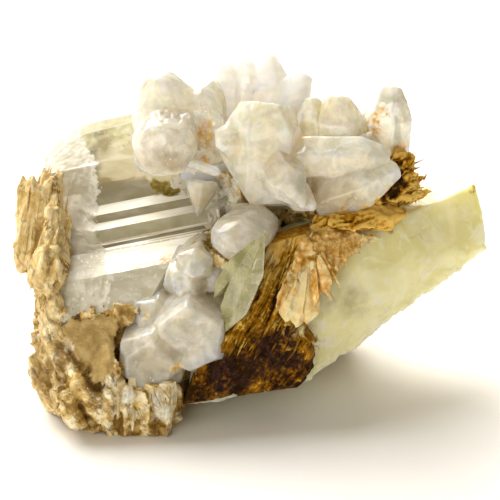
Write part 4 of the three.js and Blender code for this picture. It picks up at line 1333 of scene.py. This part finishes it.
rock = {
    "voxel": 0.425,
    # the flat tan face: each side of its outline as the share of x and z it is measured by, and its distance
    "tanFacet": [
        (1, 0.05, 30.4), (-1, 0.1, -23.6), (0.1, -1, 21.6), (0.776, 0.631, 13.8), (-0.62, 0.78, -23.4),
    ],
    "splinterWay": (0.16, 0.585, 0.80),
    "layerWay": (0.5, -0.25, -0.83),
    # each kind of loose bar: way, how many, lengths, widths, jitter, lift, lowest and highest tone
    "bars": {
        "laths": ((0.16, 0.585, 0.80), 70, (3.0, 8.0), (0.5, 1.5), 0.07, -0.2, 0.45, 1.0),
        "plates": ((0.55, -0.25, -0.75), 22, (3.4, 6.4), (2.2, 4.4), 0.2, -0.95, 0.35, 0.95),
        "columns": ((0.06, 0.05, 1.0), 14, (5.0, 7.5), (2.6, 4.2), 0.03, -0.9, 0.5, 0.9),
    },
    # each mark or relief: its spots, and how ragged and soft they are, with their seed
    "raised": ([(-27, -12.6, 20, 4.5), (-31, -12, 19.4, 3.5), (-22, -13.4, 19.6, 3)], 0.3, 0.8, 114),
    "even": ([(-20, -12.6, 20, 4.2)], 0.3, 0.6, 138),
    "pale": (
        [
            (-14.6, -20.8, 5.4, 2.2), (-19, -20, 7.6, 2.0), (-33.4, -12.6, 25.6, 5), (-34.5, -13, 17.4, 3.2),
            (-35.4, -8.4, 21, 3.6), (-35.6, -7, 15.4, 3),
        ],
        0.5, 0.5, 107,
    ),
    "rusty": (
        [
            (-32.6, 3.4, 36, 2.4), (-34.5, -2.6, 30.8, 2.0), (-30, -9, 26, 2.2), (-36, -3, 26, 1.6),
            (-31, -6, 28, 2.0),
        ],
        0.6, 0.5, 111,
    ),
    "olive": ([(-8.6, -8.4, 28.2, 2.6), (-7, -6, 27.6, 2.0), (-7.4, -9.4, 26, 2.4)], 0.3, 0.3, 112),
    "paleOlive": ([(-20.2, -12.4, 20, 3.2)], 0.5, 0.5, 112),
    "darkening": (
        [
            (-32.6, -16.3, 10.4, 2.4), (-31.8, -20.4, 8.4, 1.8), (-34, -13.6, 13.4, 1.6), (-24.4, -20, 9, 1.9),
            (-27.4, -19.6, 10.4, 1.8), (-21, -18.4, 12.6, 1.4), (-23, -20.8, 6, 1.2), (-29.6, -15.6, 18, 1.2),
            (-34, -11.4, 20, 1.8),
        ],
        0.8, 0.5, 129,
    ),
    "notDarkened": ([(-33.4, -12.6, 25.6, 5)], 0.5, 0.5, 135),
    "crusty": (
        [(-9.4, 6.4, 32.4, 4.2), (-5.6, 4.8, 32.2, 4.6), (-3, 1, 31.4, 4.4), (-8, 5, 30, 3)],
        0.4, 0.3, 127,
    ),
    "lowCrusty": ([(-15, -21, 5, 1.9), (-15.2, -20.6, 8, 1.5), (-20.8, -20.8, 8, 1.7)], 0.5, 0.5, 128),
}


def rockMaterial():
    # ochre blocks by tone, with dark cracks, painted shade in hollows, painted highlights on ridges, and darker, paler,
    # rusty and flat places by their marks
    material, tree, shader = startMaterial("tanRock", cloudy(0.2, 0.0008, (1.0, 0.7, 0.4), 0.2))
    blocks, cracks = [], []
    for size, seen in ((2.6, 0.5), (1.1, 0.56)):
        place = placeIn(tree, size, (0.45, 1, 1), (0, -59, 0))
        wander = addNode(tree, "TexNoise", {"Vector": place, "Scale": 0.9, "Detail": 4}).outputs["Color"]
        moved = addNode(tree, "VectorMath", {0: wander, 1: (1.1, 1.1, 1.1), 2: place}, operation="MULTIPLY_ADD")
        cell = {"Vector": moved.outputs[0], "Scale": 1}
        own = addNode(tree, "TexVoronoi", cell).outputs["Color"]
        blocks.append(addNode(tree, "SeparateColor", {"Color": own}).outputs["Red"])
        edge = addNode(tree, "TexVoronoi", cell, feature="DISTANCE_TO_EDGE").outputs["Distance"]
        line = between(tree, edge, 0.0, 0.14, 1, 0)
        cracks.append(times(tree, line, clouds(tree, size * 1.5, 3, seen - 0.05, seen + 0.1)))
    crack, facet, fibre = largest(tree, *cracks), mark(tree, "facet"), mark(tree, "fibre")
    solid = without(tree, facet)
    streaks = clouds(tree, 1.0, 5, 0.3, 0.7, -0.4, 0.4, stretch=(1, 1, 0.1), turn=(36, -9, 0))
    streaks = times(tree, streaks, fibre)
    tone = plus(
        tree, mark(tree, "tone"), clouds(tree, 1.4, 6, 0.25, 0.75, -0.3, 0.3, warp=0.6),
        times(tree, plus(tree, blocks[0], -0.5), 0.3), times(tree, plus(tree, blocks[1], -0.5), 0.16), streaks,
    )
    hollowShade = mark(tree, "hollowShade")
    ochre = [(0.05, "6C4E1A"), (0.28, "9A7836"), (0.52, "C4A25E"), (0.76, "E6CD94"), (0.95, "F6EAC8")]
    pale = ramp(tree, grain(tree, 1.0, 5), [(0.3, "B5924C"), (0.5, "D9C08A"), (0.7, "F0E3C2")])
    flat = ramp(tree, grain(tree, 1.6, 6), [(0.32, "A3874E"), (0.5, "B99C62"), (0.68, "CDB47C")])
    rusty = ramp(tree, grain(tree, 0.5, 4), [(0.35, "74501A"), (0.65, "B0843A")])
    crusty = ramp(tree, grain(tree, 0.6, 4), [(0.3, "D8D0B6"), (0.5, "F2EEDC"), (0.7, "FFFDF6")])
    colour = layered(
        tree, ramp(tree, tone, ochre),
        (times(tree, mark(tree, "pale"), 0.85), pale),
        (facet, flat),
        (times(tree, crack, solid, 0.25), "7A5A24"),
        # painted shade in hollows and cracks, and painted highlights on ridges
        (between(tree, hollowShade, 0.15, 0.9, 0, 0.8), "5E4216"),
        (between(tree, hollowShade, -0.25, -0.9, 0, 0.5), "E6D4A8"),
        (times(tree, fibre, 0.34), "F0CC7C"),
        (times(tree, mark(tree, "rusty"), clouds(tree, 0.7, 4, 0.35, 0.6)), rusty),
        (mark(tree, "olive"), "6A5A1C"),
        # darker in the listed spots, on the lower front and in the gully
        (times(tree, mark(tree, "darkening"), clouds(tree, 1.0, 5, 0.3, 0.55)), "80602A"),
        (mark(tree, "crusty"), crusty),
    )
    steps = plus(tree, times(tree, blocks[0], 0.5), times(tree, blocks[1], 0.25))
    steps = times(tree, maths(tree, "SUBTRACT", steps, times(tree, crack, 0.7)), solid)
    relief = bumped(tree, streaks, 0.5, 0.8, bumped(tree, steps, 0.6, 0.8))
    relief = bumped(tree, times(tree, grain(tree, 1.3, 6, rough=0.65), facet), 0.7, 0.9, relief)
    relief = bumped(tree, grain(tree, 0.5, 6, rough=0.7), 0.16, 0.9, relief)
    roughness = clouds(tree, 0.8, 3, 0.3, 0.7, 0.5, 0.95)
    wire(tree, shader, {"Base Color": colour, "Roughness": roughness, "Normal": relief})
    return material


def makeRock():
    # three kinds of relief: broken blocks, the fibrous fringe at the left and the short upright pillars
    points, faces = fused([solidSkin("matrix_rock")], rock["voxel"], 4)
    x, y, z = points.T
    fringe = fade(x, -29.5, -31.5) * fade(z, 17, 21)
    points = relaxedWhere(points, faces, 16, fringe)
    pillars = fade(y, -17.4, -18.6) * fade(x, -23.5, -22.5) * fade(x, -11, -12) * fade(z, 9.6, 8.4)
    inside = np.min([a * x + b * z + c for a, b, c in rock["tanFacet"]], axis=0) + 1.2 * uneven(points, 0.9, 102, 3)
    facet = fade(inside, 0.0, 0.25) * fade(y, -11, -13)
    gully = fade(np.abs(x - 0.1 * z + 22.6), 0.9, 0.3) * fade(y, -11, -13) * fade(z, 7, 9) * fade(z, 21, 20)
    layered = stretchedAlong(points, rock["layerWay"], 1.9)
    bedded = stretchedAlong(points, rock["layerWay"], 6)
    splintery = stretchedAlong(points, rock["splinterWay"], 7)
    big, bigTone = brokenCells(bent(layered, 5, 1.6, 110), 4.6, 103, 1.9)
    small, smallTone = brokenCells(bent(layered, 2, 0.6, 113), 2.1, 104, 1.7)
    tiny = brokenCells(bent(points, 1, 0.3, 116), 1.1, 119, 1.5)[0]
    strand, strandTone = brokenCells(bent(splintery, 3, 1.0, 121), 1.2, 105, 1.3)
    column, columnTone = brokenCells(bent(points * (1, 1, 0.2), 2, 0.7, 122), 1.6, 124, 1.0)
    layers = uneven(bedded, 0.9, 120, 3)
    threads = uneven(splintery, 0.55, 106, 3)
    beds = uneven(bent(bedded, 4, 1.2, 134), 1.9, 137, 3)
    ridges = uneven(stretchedAlong(points, rock["splinterWay"], 8), 1.5, 126, 3)
    blocky = (1 - fringe) * (1 - pillars)
    rise = blocky * (0.6 * big + 0.26 * small + 0.1 * tiny + 2.2 * beds) * (1 - 0.9 * facet)
    rise = rise + fringe * (2.4 * ridges + 0.2 * strand + 0.2 * threads) + pillars * (0.1 * column + 0.1 * tiny)
    rise = rise + 0.6 * spots(points, *rock["raised"])
    rise = rise * (1 - 0.7 * spots(points, *rock["even"]))
    rise = rise + 0.16 * uneven(points, 0.9, 107, 3)
    crack = fade(np.abs(uneven(bent(layered, 3, 2, 125), 4.2, 128, 2)), 0.035, 0.0) * blocky * (1 - 0.7 * facet)
    crack = np.maximum(crack, 0.25 * gully)
    rise = rise - 0.6 * crack
    skin = pushed((points, faces), rise * fade(z, 0.0, 1.2))
    masks = {
        "laths": fringe * fade(z, 35, 34),
        "plates": blocky * (1 - facet) * fade(x, -24, -25) * fade(z, 20, 18) * fade(z, 2.4, 3.4) * fade(y, 2, 0),
        "columns": pillars * fade(z, 2.4, 3.2) * fade(z, 7, 6.4),
    }
    rng = np.random.default_rng(108)
    bars, barTones, barHollows = [], [], []
    for k, (kind, row) in enumerate(rock["bars"].items()):
        way, count, lengths, widths, jitter, lift, least, most = row
        blunt = kind != "laths"
        bars.append(strewn(skin, masks[kind], way, count, lengths, widths, jitter, 101 + k, blunt, lift))
        barTones.append(rng.uniform(least, most, count).repeat(sliverPoints))
        barHollows.append(rng.uniform(-0.4, 0.1, count).repeat(sliverPoints))
    whole = joinedSkins([skin, *bars])
    place = whole[0]
    loose = np.arange(len(place) - len(points))
    isLath = loose < sliverPoints * rock["bars"]["laths"][1]
    nothing = 0.0 * loose
    # painted shade in hollows and cracks, and painted highlight on ridges; each loose bar gets a random value
    hollowShade = np.maximum(hollows(*skin, 14, 0.5), crack * 0.9)
    tone = blocky * (0.54 + 0.44 * (bigTone - 0.5) + 0.24 * (smallTone - 0.5) + 0.3 * layers + 1.1 * beds)
    tone = tone + fringe * (0.86 + 0.4 * (strandTone - 0.5) + 0.4 * threads + 1.6 * ridges)
    tone = tone + pillars * (0.5 + 0.9 * (columnTone - 0.5))
    pale = np.maximum(fade(place[:, 0], -30.5, -33) * 0.8, spots(place, *rock["pale"]))
    # darker patches of noise on the lower front, except in one listed spot
    lowFrontDarkening = fade(smoothNoise(bent(place, 4, 3, 130), 3.2, 133, 3), 0.54, 0.66)
    lowFrontDarkening = lowFrontDarkening * (place[:, 1] < -4) * (place[:, 2] < 21) * (1 - spots(place, *rock["notDarkened"]))
    darkening = np.maximum(spots(place, *rock["darkening"]), lowFrontDarkening)
    darkening = np.maximum(darkening, np.concatenate([0.6 * gully, nothing])) * np.concatenate([1 - facet, 1 + nothing])
    marks = {
        "hollowShade": np.concatenate([hollowShade, *barHollows]),
        "tone": np.clip(np.concatenate([tone, *barTones]), 0, 1),
        "facet": np.concatenate([facet * blocky * (1 - crack), nothing]),
        "pale": pale * (0.3 + 0.7 * fade(smoothNoise(place, 2.0, 109, 3), 0.38, 0.56)),
        "rusty": spots(place, *rock["rusty"]),
        "olive": np.maximum(spots(place, *rock["olive"]), 0.35 * spots(place, *rock["paleOlive"])),
        "fibre": np.concatenate([fringe, isLath]),
        "darkening": darkening * 0.8,
        "crusty": np.maximum(spots(place, *rock["crusty"]), 0.85 * spots(place, *rock["lowCrusty"])),
    }
    finishPiece("tanRockBody", whole, rockMaterial(), "matrix_rock", marks, 38)


makeRock()

# floor, light and world

studio = {
    "floor": ("F6F5F3", "FAF9F7"),
    "sky": "FFF1D8",
    "horizon": 0.13,
    "zenith": 0.4,
    "beyond": 0.95,
    "sun": {"strength": 3.8, "way": (-0.45, 0.5, 0.8), "size": 50, "colour": "FFFEFB"},
    # each box light: where it is, its size, power and colour, in metres and watts
    "boxes": {
        "backBox": ((-0.14, 0.42, 0.30), (0.42, 0.30), 2.6, "FFF8EC"),
        "frontBox": ((-0.30, -0.50, 0.13), (0.5, 0.36), 1.8, "FFFCF4"),
    },
    "aim": (0, 0, 0.02),
}


def addLight(name, lamp, colour, way):
    # a lamp whose back points along the way
    lamp.color = tint(colour)[:3]
    light = bpy.data.objects.new(name, lamp)
    light.rotation_euler = Vector(way).to_track_quat("Z", "Y").to_euler()
    bpy.context.scene.collection.objects.link(light)
    return light


def makeFloor():
    corners = np.array([(-4, -4, 0), (4, -4, 0), (4, 8, 0), (-4, 8, 0)], float)
    ground = meshFrom("ground", corners, [np.array([[0, 1, 2, 3]])])
    material, tree, shader = startMaterial("paperFloor", {"Roughness": 0.9, "Specular IOR Level": 0.1})
    wire(tree, shader, {"Base Color": blended(tree, clouds(tree, 40, 2, 0.3, 0.7), *studio["floor"])})
    ground.materials.append(material)
    floor = bpy.data.objects.new("ground", ground)
    bpy.context.scene.collection.objects.link(floor)


def makeWorld():
    world = bpy.data.worlds.new("studio")
    world.use_nodes = True
    tree = world.node_tree
    way = addNode(tree, "TexCoord", {}).outputs["Generated"]
    height = addNode(tree, "SeparateXYZ", {"Vector": way}).outputs["Z"]
    background = tree.nodes["Background"]
    background.inputs["Color"].default_value = tint(studio["sky"])
    # what is seen through a clear crystal is the white room beyond
    through = times(tree, addNode(tree, "LightPath", {}).outputs["Is Transmission Ray"], studio["beyond"])
    sky = between(tree, height, 0.0, 0.9, studio["horizon"], studio["zenith"])
    tree.links.new(largest(tree, sky, through), background.inputs["Strength"])
    bpy.context.scene.world = world


def makeLights():
    for name, (place, size, power, colour) in studio["boxes"].items():
        lamp = bpy.data.lights.new(name, "AREA")
        lamp.shape = "RECTANGLE"
        lamp.size, lamp.size_y = size
        lamp.energy = power
        addLight(name, lamp, colour, Vector(place) - Vector(studio["aim"])).location = place
    lamp = bpy.data.lights.new("softSun", "SUN")
    lamp.energy = studio["sun"]["strength"]
    lamp.angle = math.radians(studio["sun"]["size"])
    addLight("softSun", lamp, studio["sun"]["colour"], studio["sun"]["way"])


makeFloor()
makeWorld()
makeLights()
bpy.context.scene.view_settings.view_transform = "Standard"
